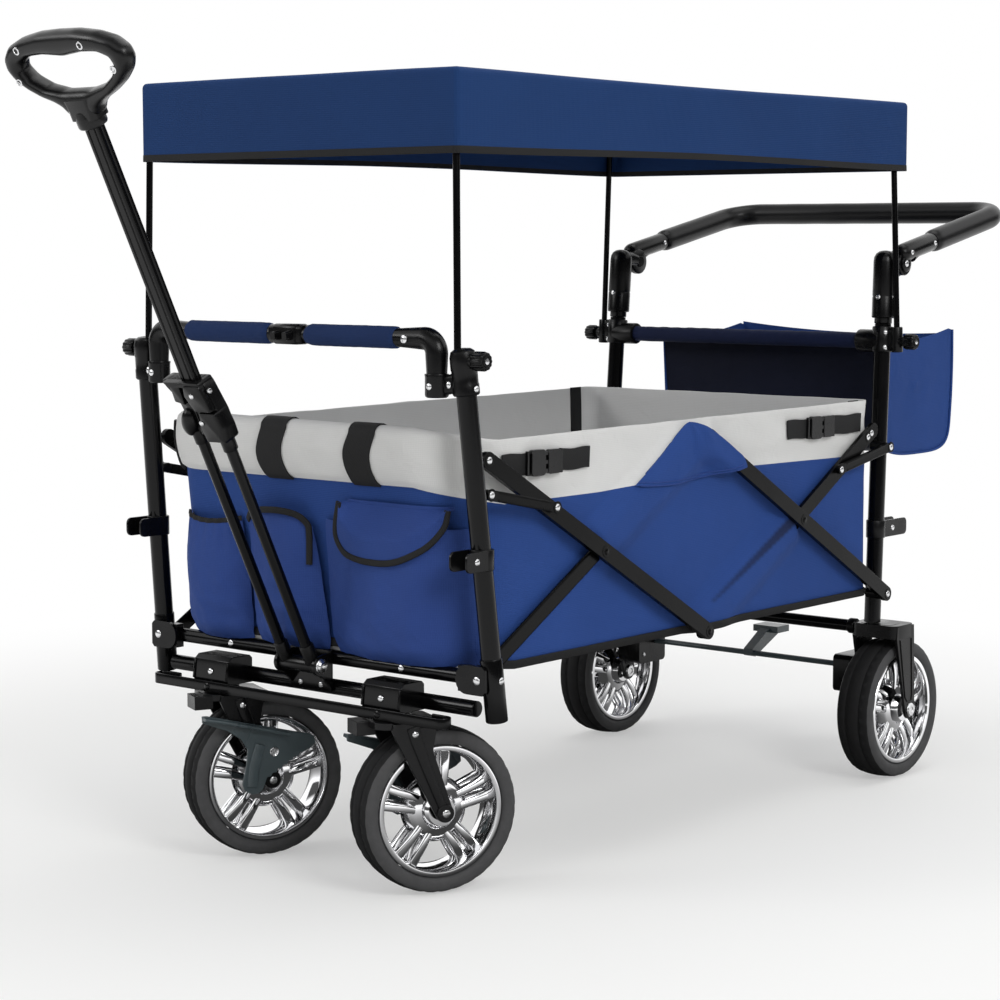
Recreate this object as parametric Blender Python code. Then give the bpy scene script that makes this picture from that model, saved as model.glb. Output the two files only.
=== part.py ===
"""Folding wagon with canopy, pull handle and push handle.

Metres, +Z up. The pull-handle end faces -Y, the push-handle end +Y, and X = 0 is the mid plane.
R is the +X side and L the -X side. The wheels stand on Z = 0.
"""
import math

import bmesh
import bpy
from mathutils import Matrix, Vector

for old in list(bpy.data.objects):
    bpy.data.objects.remove(old, do_unlink=True)

# Clearance between pieces that touch
gap = 0.0003

# Wheels
wheel_radius = 0.100
wheel_width = 0.056
tyre_depth = 0.020
rim_wall = 0.006
rim_width = 0.046
hub_radius = 0.019
hub_width = 0.057
axle_radius = 0.0060
spoke_count = 5
spoke_width = 0.0065
spoke_spread = 0.015

# Scissor bars on each side
bar_thickness = 0.0072
bar_width = 0.0205
bar_inner_x = 0.2544
scissor_front_y = -0.004
scissor_pitch = 0.441
scissor_low_z = 0.270
scissor_rise = 0.251
rear_bar_cut = 0.033
pivot_boss_radius = 0.0080
pivot_boss_length = 0.0120

# Main tubes
tube_radius = 0.0118
foot_radius = 0.0128
foot_height = 0.075
front_half_width = 0.2768
front_foot_z = 0.2195
front_lean_in = 0.034
front_lean_forward = 0.1007
front_top_z = 0.628
rear_half_width = 0.2418
rear_post_behind = 0.0045
rear_y = scissor_front_y + 2 * scissor_pitch + rear_post_behind
rear_foot_z = 0.2265
rear_lean_in = 0.014
rear_lean_back = 0.062
rear_stub_radius = 0.0090
rear_stub_length = 0.048
front_clip_z = 0.409
front_clip_reach = 0.042
front_clip_height = 0.023
rear_clip_z = 0.360
rear_clip_reach = 0.066
rear_clip_height = 0.024
clip_wall = 0.003

# Short braces between the uprights and the bars
link_width = 0.0125
link_front_z = 0.482
link_front_back = 0.019
link_front_end = (scissor_front_y + 0.117, 0.458)
link_thickness = 0.0065
link_rear_ahead = 0.016
link_rear_z = 0.479
link_rear_end = (rear_y - 0.1305, 0.4565)

# Front cross members
cross_y = -0.0075
upper_cross_z = 0.269
upper_cross_radius = 0.0090
lower_cross_z = 0.2325
lower_cross_radius = 0.0095
plate_thickness = 0.0050
corner_plate_width = 0.044
corner_plate_height = 0.034
caster_x = 0.143
caster_y = -0.0305
caster_block_width = 0.060
caster_block_height = 0.0355
caster_block_depth = 0.044
bumper_y = -0.060
bumper_z = 0.2200
bumper_height = 0.013
bumper_thickness = 0.004
bumper_half_width = 0.262

# Caster forks
caster_turn = 25.0
caster_trail = 0.051
fork_clearance = 0.0025
fork_arm_thickness = 0.0045
fork_arm_radius = 0.013
fork_crown_gap = 0.004
fork_crown_height = 0.0075
fork_crown_front = 0.036
bolt_radius = 0.0095
bolt_height = 0.003
pedal_thickness = 0.004
pedal_front = 0.042
pedal_back = 0.106
pedal_toe_rise = 0.024
pedal_pivot_z = 0.155
pedal_pivot_behind = 0.016
pedal_leg_z = 0.084

# Rear axle frame
rear_wheel_x = 0.2508
rear_wheel_behind = 0.0311
rear_wheel_y = rear_y + rear_wheel_behind
rear_crown_gap = 0.0060
rear_crown_ahead = 0.0135
rear_crown_behind = 0.0415
rear_cross_radius = 0.0085
rear_arm_thickness = 0.0045
rear_arm_clearance = 0.0040
brake_box_width = 0.040
brake_box_length = 0.068
brake_box_height = 0.054
brake_box_z = 0.145
brake_bar_behind = 0.0475
brake_bar_z = 0.150
brake_bar_radius = 0.0042
brake_pedal_reach = 0.070
brake_pedal_rise = 0.030

# Grab bar over the front
grab_x = 0.230
grab_y = -0.050
grab_z = 0.660
grab_radius = 0.0105
grab_bend = 0.034
grab_foot_z = 0.5963
grab_pad_radius = 0.0133
grab_pad_in = 0.0305
grab_pad_out = 0.172
grab_clip_width = 0.054

# Canopy
canopy_half_width = 0.2600
canopy_front_y = -0.0485
canopy_back_behind = 0.0483
canopy_back_y = rear_y + canopy_back_behind
canopy_top_z = 0.9640
canopy_drop = 0.0970
canopy_wall = 0.0030
canopy_sag = 0.0070
canopy_hem_rise = 0.0040
canopy_ripple = 0.0040
canopy_folds = 4
hoop_radius = 0.0042
hoop_front_foot = (0.2565, -0.0445)
hoop_front_top = (0.2505, -0.0400)
hoop_rear_foot = (0.2620, rear_y + 0.0235)
hoop_rear_top = (0.2488, rear_y + 0.0220)
hoop_bend = 0.014

# Clamps and knobs
clamp_radius = 0.0155
clamp_front_low_z = 0.597
clamp_front_high_z = 0.650
clamp_rear_radius = 0.0150
clamp_rear_low_z = 0.612
clamp_rear_height = 0.036
clamp_rear_high_z = clamp_rear_low_z + clamp_rear_height
rear_top_above = 0.004
rear_top_z = clamp_rear_high_z + rear_top_above
socket_radius = 0.0078
grab_socket_radius = 0.0136
grab_socket_depth = 0.024
knob_radius = 0.0112
knob_length = 0.0175
knob_z = 0.636
knob_rear_rise = 0.0155
knob_rear_z = clamp_rear_low_z + knob_rear_rise
knob_front_x = 0.2798
knob_rear_x = 0.2745

# Pull handle
pull_y = -0.038
pull_z = 0.262
pull_tilt = 26.3
pull_barrel_radius = 0.0100
pull_rod_radius = 0.00675
pull_rod_x = 0.0215
pull_head_low = 0.316
pull_head_high = 0.393
pull_head_half_width = 0.0300
pull_head_depth = 0.0260
pull_pole_width = 0.0220
pull_pole_depth = 0.0120
pull_pole_low = 0.322
pull_collar = 0.705
pull_collar_height = 0.014
pull_grip_top = 0.819
pull_grip_width = 0.194
pull_grip_thickness = 0.030
pull_cheek = 0.0050
pull_bracket_z = (0.228, 0.279)

# Push handle
push_sleeve_above = 0.015
push_sleeve_length = 0.071
push_sleeve_low = rear_top_z + push_sleeve_above
push_sleeve_high = push_sleeve_low + push_sleeve_length
push_sleeve_radius = 0.0165
push_pivot_behind = 0.0685
push_pivot_drop = 0.0010
push_pivot_y = rear_y + push_pivot_behind
push_pivot_z = push_sleeve_high - push_pivot_drop
push_disc_radius = 0.0190
push_disc_width = 0.0100
push_disc_x = 0.2260
push_tube_radius = 0.0095
push_lug = 0.0040
push_knee_reach = 0.0490
push_knee_rise = 0.0250
push_end_reach = 0.2430
push_end_rise = 0.0500
push_knee_y = push_pivot_y + push_knee_reach
push_knee_z = push_pivot_z + push_knee_rise
push_end_y = push_knee_y + push_end_reach
push_end_z = push_knee_z + push_end_rise
push_bend = 0.050
foam_radius = 0.0150
foam_start_reach = 0.030
foam_start_y = push_knee_y + foam_start_reach

# Basket and bags
basket_half_width = 0.2500
basket_floor_z = 0.2700
basket_top_z = 0.5450
basket_back_ahead = 0.0225
basket_back_y = rear_y - basket_back_ahead
basket_front_off = 0.0040
cloth_wall = 0.0040
hood_top = 0.016
hood_front_length = 0.165
hood_back_length = 0.080
hood_roof_front = 0.048
hood_roof_back = 0.018
hood_drop = 0.068
hood_skin = 0.003
pocket_low_z = 0.292
pocket_high_z = 0.458
pocket_depth = 0.020
pocket_skin = 0.0035
pocket_spans = ((-0.228, -0.100), (-0.092, 0.030), (0.038, 0.232))
bag_bar_radius = 0.0080
bag_half_width = 0.208
bag_front_behind = 0.0575
bag_back_behind = 0.2795
bag_front_y = rear_y + bag_front_behind
bag_back_y = rear_y + bag_back_behind
bag_depth = 0.1695
bag_rise = 0.0125
bag_low_z = knob_rear_z - bag_depth
bag_high_z = knob_rear_z + bag_rise
bag_sleeve_wall = 0.0022
bag_collar_length = 0.0180

# Derived positions
bar_outer_x = bar_inner_x + bar_thickness + gap
bar_link_x = bar_outer_x + bar_thickness + gap
scissor_mid_y = scissor_front_y + scissor_pitch
scissor_back_y = scissor_mid_y + scissor_pitch
scissor_top_z = scissor_low_z + scissor_rise
sides = 14
wheel_steps = 32


def material(name, rgb, rough, metal=0.0):
    """One Principled material."""
    made = bpy.data.materials.new(name)
    made.use_nodes = True
    shader = made.node_tree.nodes["Principled BSDF"]
    shader.inputs["Base Color"].default_value = (*rgb, 1.0)
    shader.inputs["Roughness"].default_value = rough
    shader.inputs["Metallic"].default_value = metal
    return made


black_tube = material("black powder coated steel", (0.012, 0.012, 0.013), 0.32)
black_plastic = material("black moulded plastic", (0.02, 0.02, 0.021), 0.5)
grey_plastic = material("slate grey plastic", (0.07, 0.09, 0.10), 0.45)
tyre_rubber = material("tyre rubber", (0.03, 0.03, 0.03), 0.8)
foam = material("black foam sleeve", (0.015, 0.015, 0.016), 0.9)
blue_pad = material("blue foam pad", (0.01, 0.04, 0.16), 0.7)
chrome = material("chromed plastic", (0.75, 0.75, 0.76), 0.12, 1.0)
blue_cloth = material("blue polyester", (0.024, 0.060, 0.22), 0.85)
canopy_cloth = material("canopy polyester", (0.021, 0.058, 0.20), 0.85)
navy_cloth = material("navy polyester", (0.012, 0.020, 0.06), 0.85)


def front_at(z):
    """Centre of the right front upright at height z."""
    rise = z - front_foot_z
    return front_half_width - front_lean_in * rise, -front_lean_forward * rise


def rear_at(z):
    """Centre of the right rear upright at height z."""
    rise = z - rear_foot_z
    return rear_half_width - rear_lean_in * rise, rear_y + rear_lean_back * rise


def placed(at, side, z):
    """A point on an upright's axis, on one side of the wagon."""
    x, y = at(z)
    return Vector((side * x, y, z))


def finish_mesh(work, name="solid"):
    """A mesh object from a bmesh."""
    bmesh.ops.recalc_face_normals(work, faces=work.faces[:])
    mesh = bpy.data.meshes.new(name)
    work.to_mesh(mesh)
    work.free()
    made = bpy.data.objects.new(name, mesh)
    bpy.context.scene.collection.objects.link(made)
    return made


def rod(start, end, radius, count=None, end_radius=None):
    """A solid cylinder or cone between two points."""
    start, end = Vector(start), Vector(end)
    along = end - start
    turn = Vector((0, 0, 1)).rotation_difference(along.normalized()).to_matrix().to_4x4()
    place = Matrix.Translation((start + end) / 2) @ turn
    work = bmesh.new()
    bmesh.ops.create_cone(work, cap_ends=True, segments=count or sides, radius1=radius,
                          radius2=end_radius or radius, depth=along.length, matrix=place)
    return finish_mesh(work)


def block(low, high):
    """A box between two corners, in any order."""
    low, high = Vector(low), Vector(high)
    size = Vector((abs(a - b) for a, b in zip(low, high)))
    work = bmesh.new()
    place = Matrix.Translation((low + high) / 2) @ Matrix.Diagonal((*size, 1.0))
    bmesh.ops.create_cube(work, size=1.0, matrix=place)
    return finish_mesh(work)


def slab(outline, direction, start, end):
    """A flat outline, extruded along X, Y or Z from start to end."""
    place = {"X": lambda a, b: (start, a, b), "Y": lambda a, b: (a, start, b),
             "Z": lambda a, b: (a, b, start)}[direction]
    move = {"X": (end - start, 0, 0), "Y": (0, end - start, 0), "Z": (0, 0, end - start)}[direction]
    work = bmesh.new()
    face = work.faces.new([work.verts.new(place(a, b)) for a, b in outline])
    grown = bmesh.ops.extrude_face_region(work, geom=[face])
    fresh = [item for item in grown["geom"] if isinstance(item, bmesh.types.BMVert)]
    bmesh.ops.translate(work, verts=fresh, vec=move)
    return finish_mesh(work)


def arc(centre, radius, start, end, count):
    """Points of an arc in a plane, with angles in degrees."""
    points = []
    for step in range(count + 1):
        angle = math.radians(start + (end - start) * step / count)
        points.append((centre[0] + radius * math.cos(angle), centre[1] + radius * math.sin(angle)))
    return points


def capsule(start, end, width):
    """Outline of a flat bar with round ends."""
    aim = math.degrees(math.atan2(end[1] - start[1], end[0] - start[0]))
    return (arc(end, width / 2, aim - 90, aim + 90, 8) + arc(start, width / 2, aim + 90, aim + 270, 8))


def rounded(points, bend, count=5):
    """A polyline with its corners rounded to the bend radius."""
    points = [Vector(p) for p in points]
    made = [points[0]]
    for before, corner, after in zip(points, points[1:], points[2:]):
        into, out = (before - corner).normalized(), (after - corner).normalized()
        half = into.angle(out) / 2
        reach = bend / math.tan(half)
        centre = corner + (into + out).normalized() * (bend / math.sin(half))
        first, last = corner + into * reach - centre, corner + out * reach - centre
        for step in range(count + 1):
            made.append(centre + first.normalized().slerp(last.normalized(), step / count) * bend)
    made.append(points[-1])
    return made


def tube(points, radius, resolution=5):
    """A round tube along a polyline, with filled ends."""
    curve = bpy.data.curves.new("tube", "CURVE")
    curve.dimensions = "3D"
    curve.bevel_depth = radius
    curve.bevel_resolution = resolution
    curve.use_fill_caps = True
    line = curve.splines.new("POLY")
    line.points.add(len(points) - 1)
    for spot, point in zip(line.points, points):
        spot.co = (*point, 1.0)
    made = bpy.data.objects.new("tube", curve)
    bpy.context.scene.collection.objects.link(made)
    bpy.context.view_layer.update()
    mesh = bpy.data.meshes.new_from_object(made.evaluated_get(bpy.context.evaluated_depsgraph_get()))
    bpy.data.objects.remove(made, do_unlink=True)
    work = bmesh.new()
    work.from_mesh(mesh)
    bmesh.ops.remove_doubles(work, verts=work.verts[:], dist=0.00001)
    return finish_mesh(work)


def turned(profile, centre, count):
    """A ring turned about the X direction through a centre, from (offset, radius) points."""
    work = bmesh.new()
    ring = [work.verts.new((centre[0] + x, centre[1], centre[2] + r)) for x, r in profile]
    edges = [work.edges.new((a, b)) for a, b in zip(ring, ring[1:] + ring[:1])]
    bmesh.ops.spin(work, geom=ring + edges, cent=centre, axis=(1, 0, 0), dvec=(0, 0, 0),
                   angle=2 * math.pi, steps=count, use_merge=True, use_duplicate=False)
    bmesh.ops.remove_doubles(work, verts=work.verts[:], dist=0.00001)
    return finish_mesh(work)


def piece(name, solids, cuts, look, pivot=None):
    """Fuse solids, cut them, and name the result. Its origin goes to its pivot."""
    base = solids[0]
    for operation, tools in (("UNION", solids[1:]), ("DIFFERENCE", cuts)):
        for tool in tools:
            change = base.modifiers.new(operation.lower(), "BOOLEAN")
            change.operation = operation
            change.solver = "EXACT"
            change.object = tool
    bpy.context.view_layer.update()
    mesh = bpy.data.meshes.new_from_object(base.evaluated_get(bpy.context.evaluated_depsgraph_get()))
    for tool in list(solids) + list(cuts):
        bpy.data.objects.remove(tool, do_unlink=True)
    made = bpy.data.objects.new(name, mesh)
    bpy.context.scene.collection.objects.link(made)
    mesh.name = name
    mesh.materials.clear()
    mesh.materials.append(look)
    if pivot is not None:
        mesh.transform(Matrix.Translation(-Vector(pivot)))
        made.location = pivot
    mesh.shade_smooth()
    mesh.set_sharp_from_angle(angle=math.radians(35))
    return made


def turn_about(made, centre, degrees):
    """Turn a finished piece about the vertical through a centre."""
    spin = Matrix.Rotation(math.radians(degrees), 4, "Z")
    made.data.transform(spin)
    made.location = Vector(centre) + spin @ (made.location - Vector(centre))


def front_uprights(side, tag):
    """Leaning front tube with its foot sleeve, hinge bosses and storage clip."""
    low, high = placed(front_at, side, front_foot_z), placed(front_at, side, front_top_z)
    foot = placed(front_at, side, front_foot_z + foot_height)
    solids = [rod(low + (foot - low) * 0.02, high, tube_radius), rod(low, foot, foot_radius)]
    hinge_x = bar_inner_x + bar_thickness + gap
    solids.append(rod((side * hinge_x, scissor_front_y, scissor_low_z),
                      (side * (hinge_x + pivot_boss_length), scissor_front_y, scissor_low_z), pivot_boss_radius))
    post = placed(front_at, side, link_front_z)
    pin_y = post.y + link_front_back
    solids.append(rod((side * (bar_link_x - gap), pin_y, link_front_z),
                      (side * (bar_link_x - link_thickness), pin_y, link_front_z), link_width / 2))
    solids.append(block((side * (bar_link_x - gap - 0.0004), post.y, link_front_z - 0.4 * link_width),
                        (side * (bar_link_x - link_thickness + gap), pin_y, link_front_z + 0.4 * link_width)))
    hold = placed(front_at, side, front_clip_z)
    half, wide = front_clip_height / 2, tube_radius + 0.0017
    solids.append(rod(hold - Vector((0, 0, half + 0.0005)), hold + Vector((0, 0, half + 0.0005)),
                      tube_radius + 0.0024))
    solids.append(block(hold + Vector((-wide, -front_clip_reach, -half)),
                        hold + Vector((wide, -tube_radius / 3, half))))
    slot = block(hold + Vector((clip_wall - wide, -front_clip_reach - 0.003, -half - 0.002)),
                 hold + Vector((wide - clip_wall, -tube_radius - 0.0007, half + 0.002)))
    piece("front_upright_" + tag, solids, [slot], black_tube)


def rear_uprights(side, tag):
    """Rear tube with the stub for the push handle, hinge bosses and storage clip."""
    low, high = placed(rear_at, side, rear_foot_z), placed(rear_at, side, rear_top_z)
    stub = placed(rear_at, side, rear_top_z + rear_stub_length)
    solids = [rod(low, high, tube_radius), rod(high - (stub - high) * 0.2, stub, rear_stub_radius)]
    for y, z, radius in ((scissor_back_y, scissor_low_z, pivot_boss_radius),
                         (rear_at(link_rear_z)[1] - link_rear_ahead, link_rear_z, link_width / 2)):
        reach = rear_at(z)[0] - 0.004
        solids.append(rod((side * reach, y, z), (side * (bar_outer_x - gap), y, z), radius))
    pin_y = rear_at(link_rear_z)[1] - link_rear_ahead
    solids.append(block((side * (rear_at(link_rear_z)[0]), pin_y, link_rear_z - 0.4 * link_width),
                        (side * (rear_at(link_rear_z)[0] + 0.85 * tube_radius), pin_y + link_rear_ahead - 0.002,
                         link_rear_z + 0.4 * link_width)))
    hold = placed(rear_at, side, rear_clip_z)
    half, wide = rear_clip_height / 2, tube_radius
    solids.append(rod(hold - Vector((0, 0, half + 0.0005)), hold + Vector((0, 0, half + 0.0005)),
                      tube_radius + 0.0018))
    solids.append(block(hold + Vector((-wide, tube_radius / 3, -half)),
                        hold + Vector((wide, rear_clip_reach, half))))
    slot = block(hold + Vector((clip_wall - wide, tube_radius + 0.0012, -half - 0.002)),
                 hold + Vector((wide - clip_wall, rear_clip_reach + 0.004, half + 0.002)))
    piece("rear_upright_" + tag, solids, [slot], black_tube)


def front_cross_members():
    """Two cross tubes with the corner plates, caster blocks and handle bracket."""
    reach = bar_inner_x - gap
    tube_front = cross_y - upper_cross_radius
    solids = [rod((-reach, cross_y, upper_cross_z), (reach, cross_y, upper_cross_z), upper_cross_radius)]
    low_z = upper_cross_z - corner_plate_height / 2
    high_z = upper_cross_z + corner_plate_height / 2
    outer_x = front_half_width + 0.002
    face_y = front_at(high_z)[1] - foot_radius - gap
    for side in (1, -1):
        solids.append(block((side * (outer_x - corner_plate_width), face_y - plate_thickness, low_z),
                            (side * outer_x, face_y, high_z)))
        solids.append(block((side * (outer_x - corner_plate_width + 0.001), face_y - 0.001, low_z + 0.002),
                            (side * (reach - 0.0005), tube_front + 0.006, high_z - 0.002)))
    piece("front_upper_crossbar", solids, [], black_tube)

    solids = [rod((-reach, cross_y, lower_cross_z), (reach, cross_y, lower_cross_z), lower_cross_radius)]
    block_low = lower_cross_z - lower_cross_radius - 0.0005
    for side in (1, -1):
        solids.append(block((side * (caster_x - caster_block_width / 2), caster_y - caster_block_depth / 2,
                             block_low),
                            (side * (caster_x + caster_block_width / 2), caster_y + caster_block_depth / 2,
                             block_low + caster_block_height - 0.001)))
    piece("front_lower_crossbar", solids, [], black_tube)

    bracket_y = cross_y - lower_cross_radius - gap
    inner = pull_rod_x + pull_rod_radius + 0.0007
    low, high = pull_bracket_z
    solids = [block((-inner - pull_cheek, bracket_y - 0.004, low), (inner + pull_cheek, bracket_y, high))]
    for side in (1, -1):
        outline = ([(bracket_y - 0.001, low + 0.004)] + arc((pull_y, pull_z), 0.0125, 270, 90, 8)
                   + [(bracket_y - 0.001, high - 0.002)])
        solids.append(slab(outline, "X", side * inner, side * (inner + pull_cheek)))
        solids.append(rod((side * (inner + pull_cheek - 0.001), pull_y, pull_z),
                          (side * (inner + pull_cheek + 0.003), pull_y, pull_z), 0.0065))
    piece("handle_bracket", solids, [], black_tube)

    edge = bumper_half_width
    back = bumper_y + bumper_thickness
    low, high = bumper_z - bumper_height / 2, bumper_z + bumper_height / 2
    solids = [block((-edge, bumper_y, low), (edge, back, high))]
    for side in (1, -1):
        end_y = front_at(bumper_z + 0.01)[1] - foot_radius - gap
        solids.append(block((side * edge, bumper_y, low), (side * (edge - 0.004), end_y, high)))
        solids.append(block((side * (edge - 0.004), end_y - 0.003, low),
                            (side * (edge + 0.013), end_y, high)))
    piece("front_bumper", solids, [], black_tube)


def scissor_bar(name, start, end, x, side, cut=0.0):
    """One flat scissor bar from pivot to pivot."""
    aim = Vector((end[0] - start[0], end[1] - start[1]))
    tip = Vector(end) - aim.normalized() * cut
    outline = capsule(start, tuple(tip), bar_width)
    solid = slab(outline, "X", side * x, side * (x + bar_thickness))
    return name, solid


def scissor(side, tag):
    """The two crossed pairs of bars on one side, and their braces."""
    low, high = scissor_low_z, scissor_top_z
    front, mid, back = scissor_front_y, scissor_mid_y, scissor_back_y
    half, centre_z = scissor_pitch / 2, (low + high) / 2
    pairs = [("bar_front_rising_", (front, low), (mid, high), bar_inner_x, 0.0, (front, low)),
             ("bar_front_falling_", (mid, low), (front, high), bar_outer_x, 0.0, (front + half, centre_z)),
             ("bar_rear_falling_", (mid, high), (back, low), bar_outer_x, 0.0, (mid, high)),
             ("bar_rear_rising_", (mid, low), (back, high), bar_inner_x, rear_bar_cut,
              (mid + half, centre_z))]
    for name, start, end, x, cut, pivot in pairs:
        full_name, solid = scissor_bar(name + tag, start, end, x, side, cut)
        piece(full_name, [solid], [], black_tube, (side * x, pivot[0], pivot[1]))
    pin_y = front_at(link_front_z)[1] + link_front_back
    near, far = (pin_y, link_front_z), link_front_end
    solid = slab(capsule(near, far, link_width), "X", side * bar_link_x, side * (bar_link_x + link_thickness))
    piece("brace_front_" + tag, [solid], [], black_tube, (side * bar_link_x, *near))
    near = (rear_at(link_rear_z)[1] - link_rear_ahead, link_rear_z)
    solid = slab(capsule(near, link_rear_end, link_width), "X", side * bar_outer_x,
                 side * (bar_outer_x + link_thickness))
    piece("brace_rear_" + tag, [solid], [], black_tube, (side * bar_outer_x, *near))


def wheel(name, centre, turn_centre=None, turn=0.0):
    """A tyre and a five-spoke rim that turn on their axle."""
    inner = wheel_radius - tyre_depth
    half = wheel_width / 2
    crown = []
    shoulder = 0.005
    for step in range(7):
        angle = math.radians(30 * step)
        crown.append((-half * math.cos(angle),
                      inner + shoulder + (tyre_depth - shoulder) * max(0.0, math.sin(angle)) ** 0.55))
    profile = [(-half + 0.003, inner)] + crown + [(half - 0.003, inner)]
    tyre = piece("tyre_" + name, [turned(profile, centre, wheel_steps)], [], tyre_rubber, centre)

    outer = inner - gap
    rim_half = rim_width / 2
    well = outer - rim_wall
    barrel = turned([(-rim_half, outer), (rim_half, outer), (rim_half, well), (-rim_half, well)], centre, wheel_steps)
    spokes = []
    for index in range(spoke_count):
        angle = 2 * math.pi * index / spoke_count + math.pi / 2
        out = Vector((0, math.cos(angle), math.sin(angle)))
        cross = Vector((0, -math.sin(angle), math.cos(angle)))
        for way in (1, -1):
            foot = Vector(centre) + out * (hub_radius * 0.75) + cross * way * spoke_spread * 0.35
            tip = Vector(centre) + out * (well + rim_wall * 0.5) + cross * way * spoke_spread
            bar = rod(foot, tip, spoke_width / 2, 6)
            stretch = (Matrix.Translation(Vector(centre)) @ Matrix.Diagonal((5.2, 1, 1, 1))
                       @ Matrix.Translation(-Vector(centre)))
            bar.data.transform(stretch)
            spokes.append(bar)
    x, y, z = centre
    hub = rod((x - hub_width / 2, y, z), (x + hub_width / 2, y, z), hub_radius, 20)
    bore = rod((x - hub_width, y, z), (x + hub_width, y, z), axle_radius + gap, 12)
    rim = piece("rim_" + name, [barrel] + spokes + [hub], [bore], chrome, centre)
    for made in (tyre, rim):
        if turn_centre is not None:
            turn_about(made, turn_centre, turn)


def caster(side, tag):
    """A swivelling fork with its brake pedal and wheel, turned the way it stands."""
    centre = Vector((side * caster_x, caster_y, 0.0))
    axle = centre + Vector((0, caster_trail, wheel_radius))
    inner = max(wheel_width, hub_width) / 2 + fork_clearance
    outer = inner + fork_arm_thickness
    top = lower_cross_z - lower_cross_radius - 0.0005 - gap
    crown_low = 2 * wheel_radius + fork_crown_gap
    crown_high = crown_low + fork_crown_height
    cx, cy = centre.x, centre.y
    back = cy + caster_trail * 0.9
    front = cy - fork_crown_front
    crown = slab([(cx - outer, cy), (cx - outer, back), (cx + outer, back), (cx + outer, cy),
                  (cx + 0.020, front), (cx - 0.020, front)], "Z", crown_low, crown_high)
    solids = [crown, rod((cx, cy, crown_high - 0.002), (cx, cy, top), 0.0205)]
    for way in (1, -1):
        arm = [(cy - 0.004, crown_high - 0.001), (cy - 0.010, crown_low)]
        arm += arc((axle.y, axle.z), fork_arm_radius, 200, 360, 10)
        arm += [(back - 0.001, crown_low), (back - 0.003, crown_high - 0.001)]
        solids.append(slab(arm, "X", cx + way * inner, cx + way * outer))
        solids.append(rod((cx + way * (outer - 0.001), axle.y, axle.z),
                          (cx + way * (outer + bolt_height), axle.y, axle.z), bolt_radius, 12))
    solids.append(rod((cx - outer + 0.001, axle.y, axle.z), (cx + outer - 0.001, axle.y, axle.z),
                      axle_radius, 12))
    fork = piece("caster_fork_" + tag, solids, [], black_plastic, centre + Vector((0, 0, top)))
    turn_about(fork, centre, -caster_turn)

    near = outer + bolt_height + 0.0008
    level = pedal_pivot_z
    toe_z = level + pedal_toe_rise
    shape = [(cy - pedal_front, toe_z), (cy - pedal_front, toe_z + 0.010),
             (cy + 0.75 * pedal_back, level + 0.005), (cy + pedal_back, level - 0.002),
             (cy + pedal_back, level - 0.014), (axle.y - 0.004, level - 0.047),
             (axle.y - 0.024, pedal_leg_z), (axle.y - 0.041, pedal_leg_z + 0.010),
             (axle.y - 0.034, level - 0.013), (cy - 0.010, toe_z - 0.011)]
    plate = slab(shape, "X", cx - side * near, cx - side * (near + pedal_thickness))
    toe = block((cx - side * near, cy - pedal_front + 0.001, toe_z + 0.0015),
                (cx - side * (near + 0.018), cy - 0.7 * pedal_front, toe_z + 0.0065))
    pin_y = cy + pedal_pivot_behind
    pin = rod((cx - side * (outer + gap), pin_y, level), (cx - side * (near + 0.001), pin_y, level), 0.0060, 12)
    pedal = piece("brake_pedal_" + tag, [plate, toe, pin], [], grey_plastic,
                  (cx - side * near, pin_y, level))
    turn_about(pedal, centre, -caster_turn)
    wheel("front_" + tag, tuple(axle), centre, -caster_turn)


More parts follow.
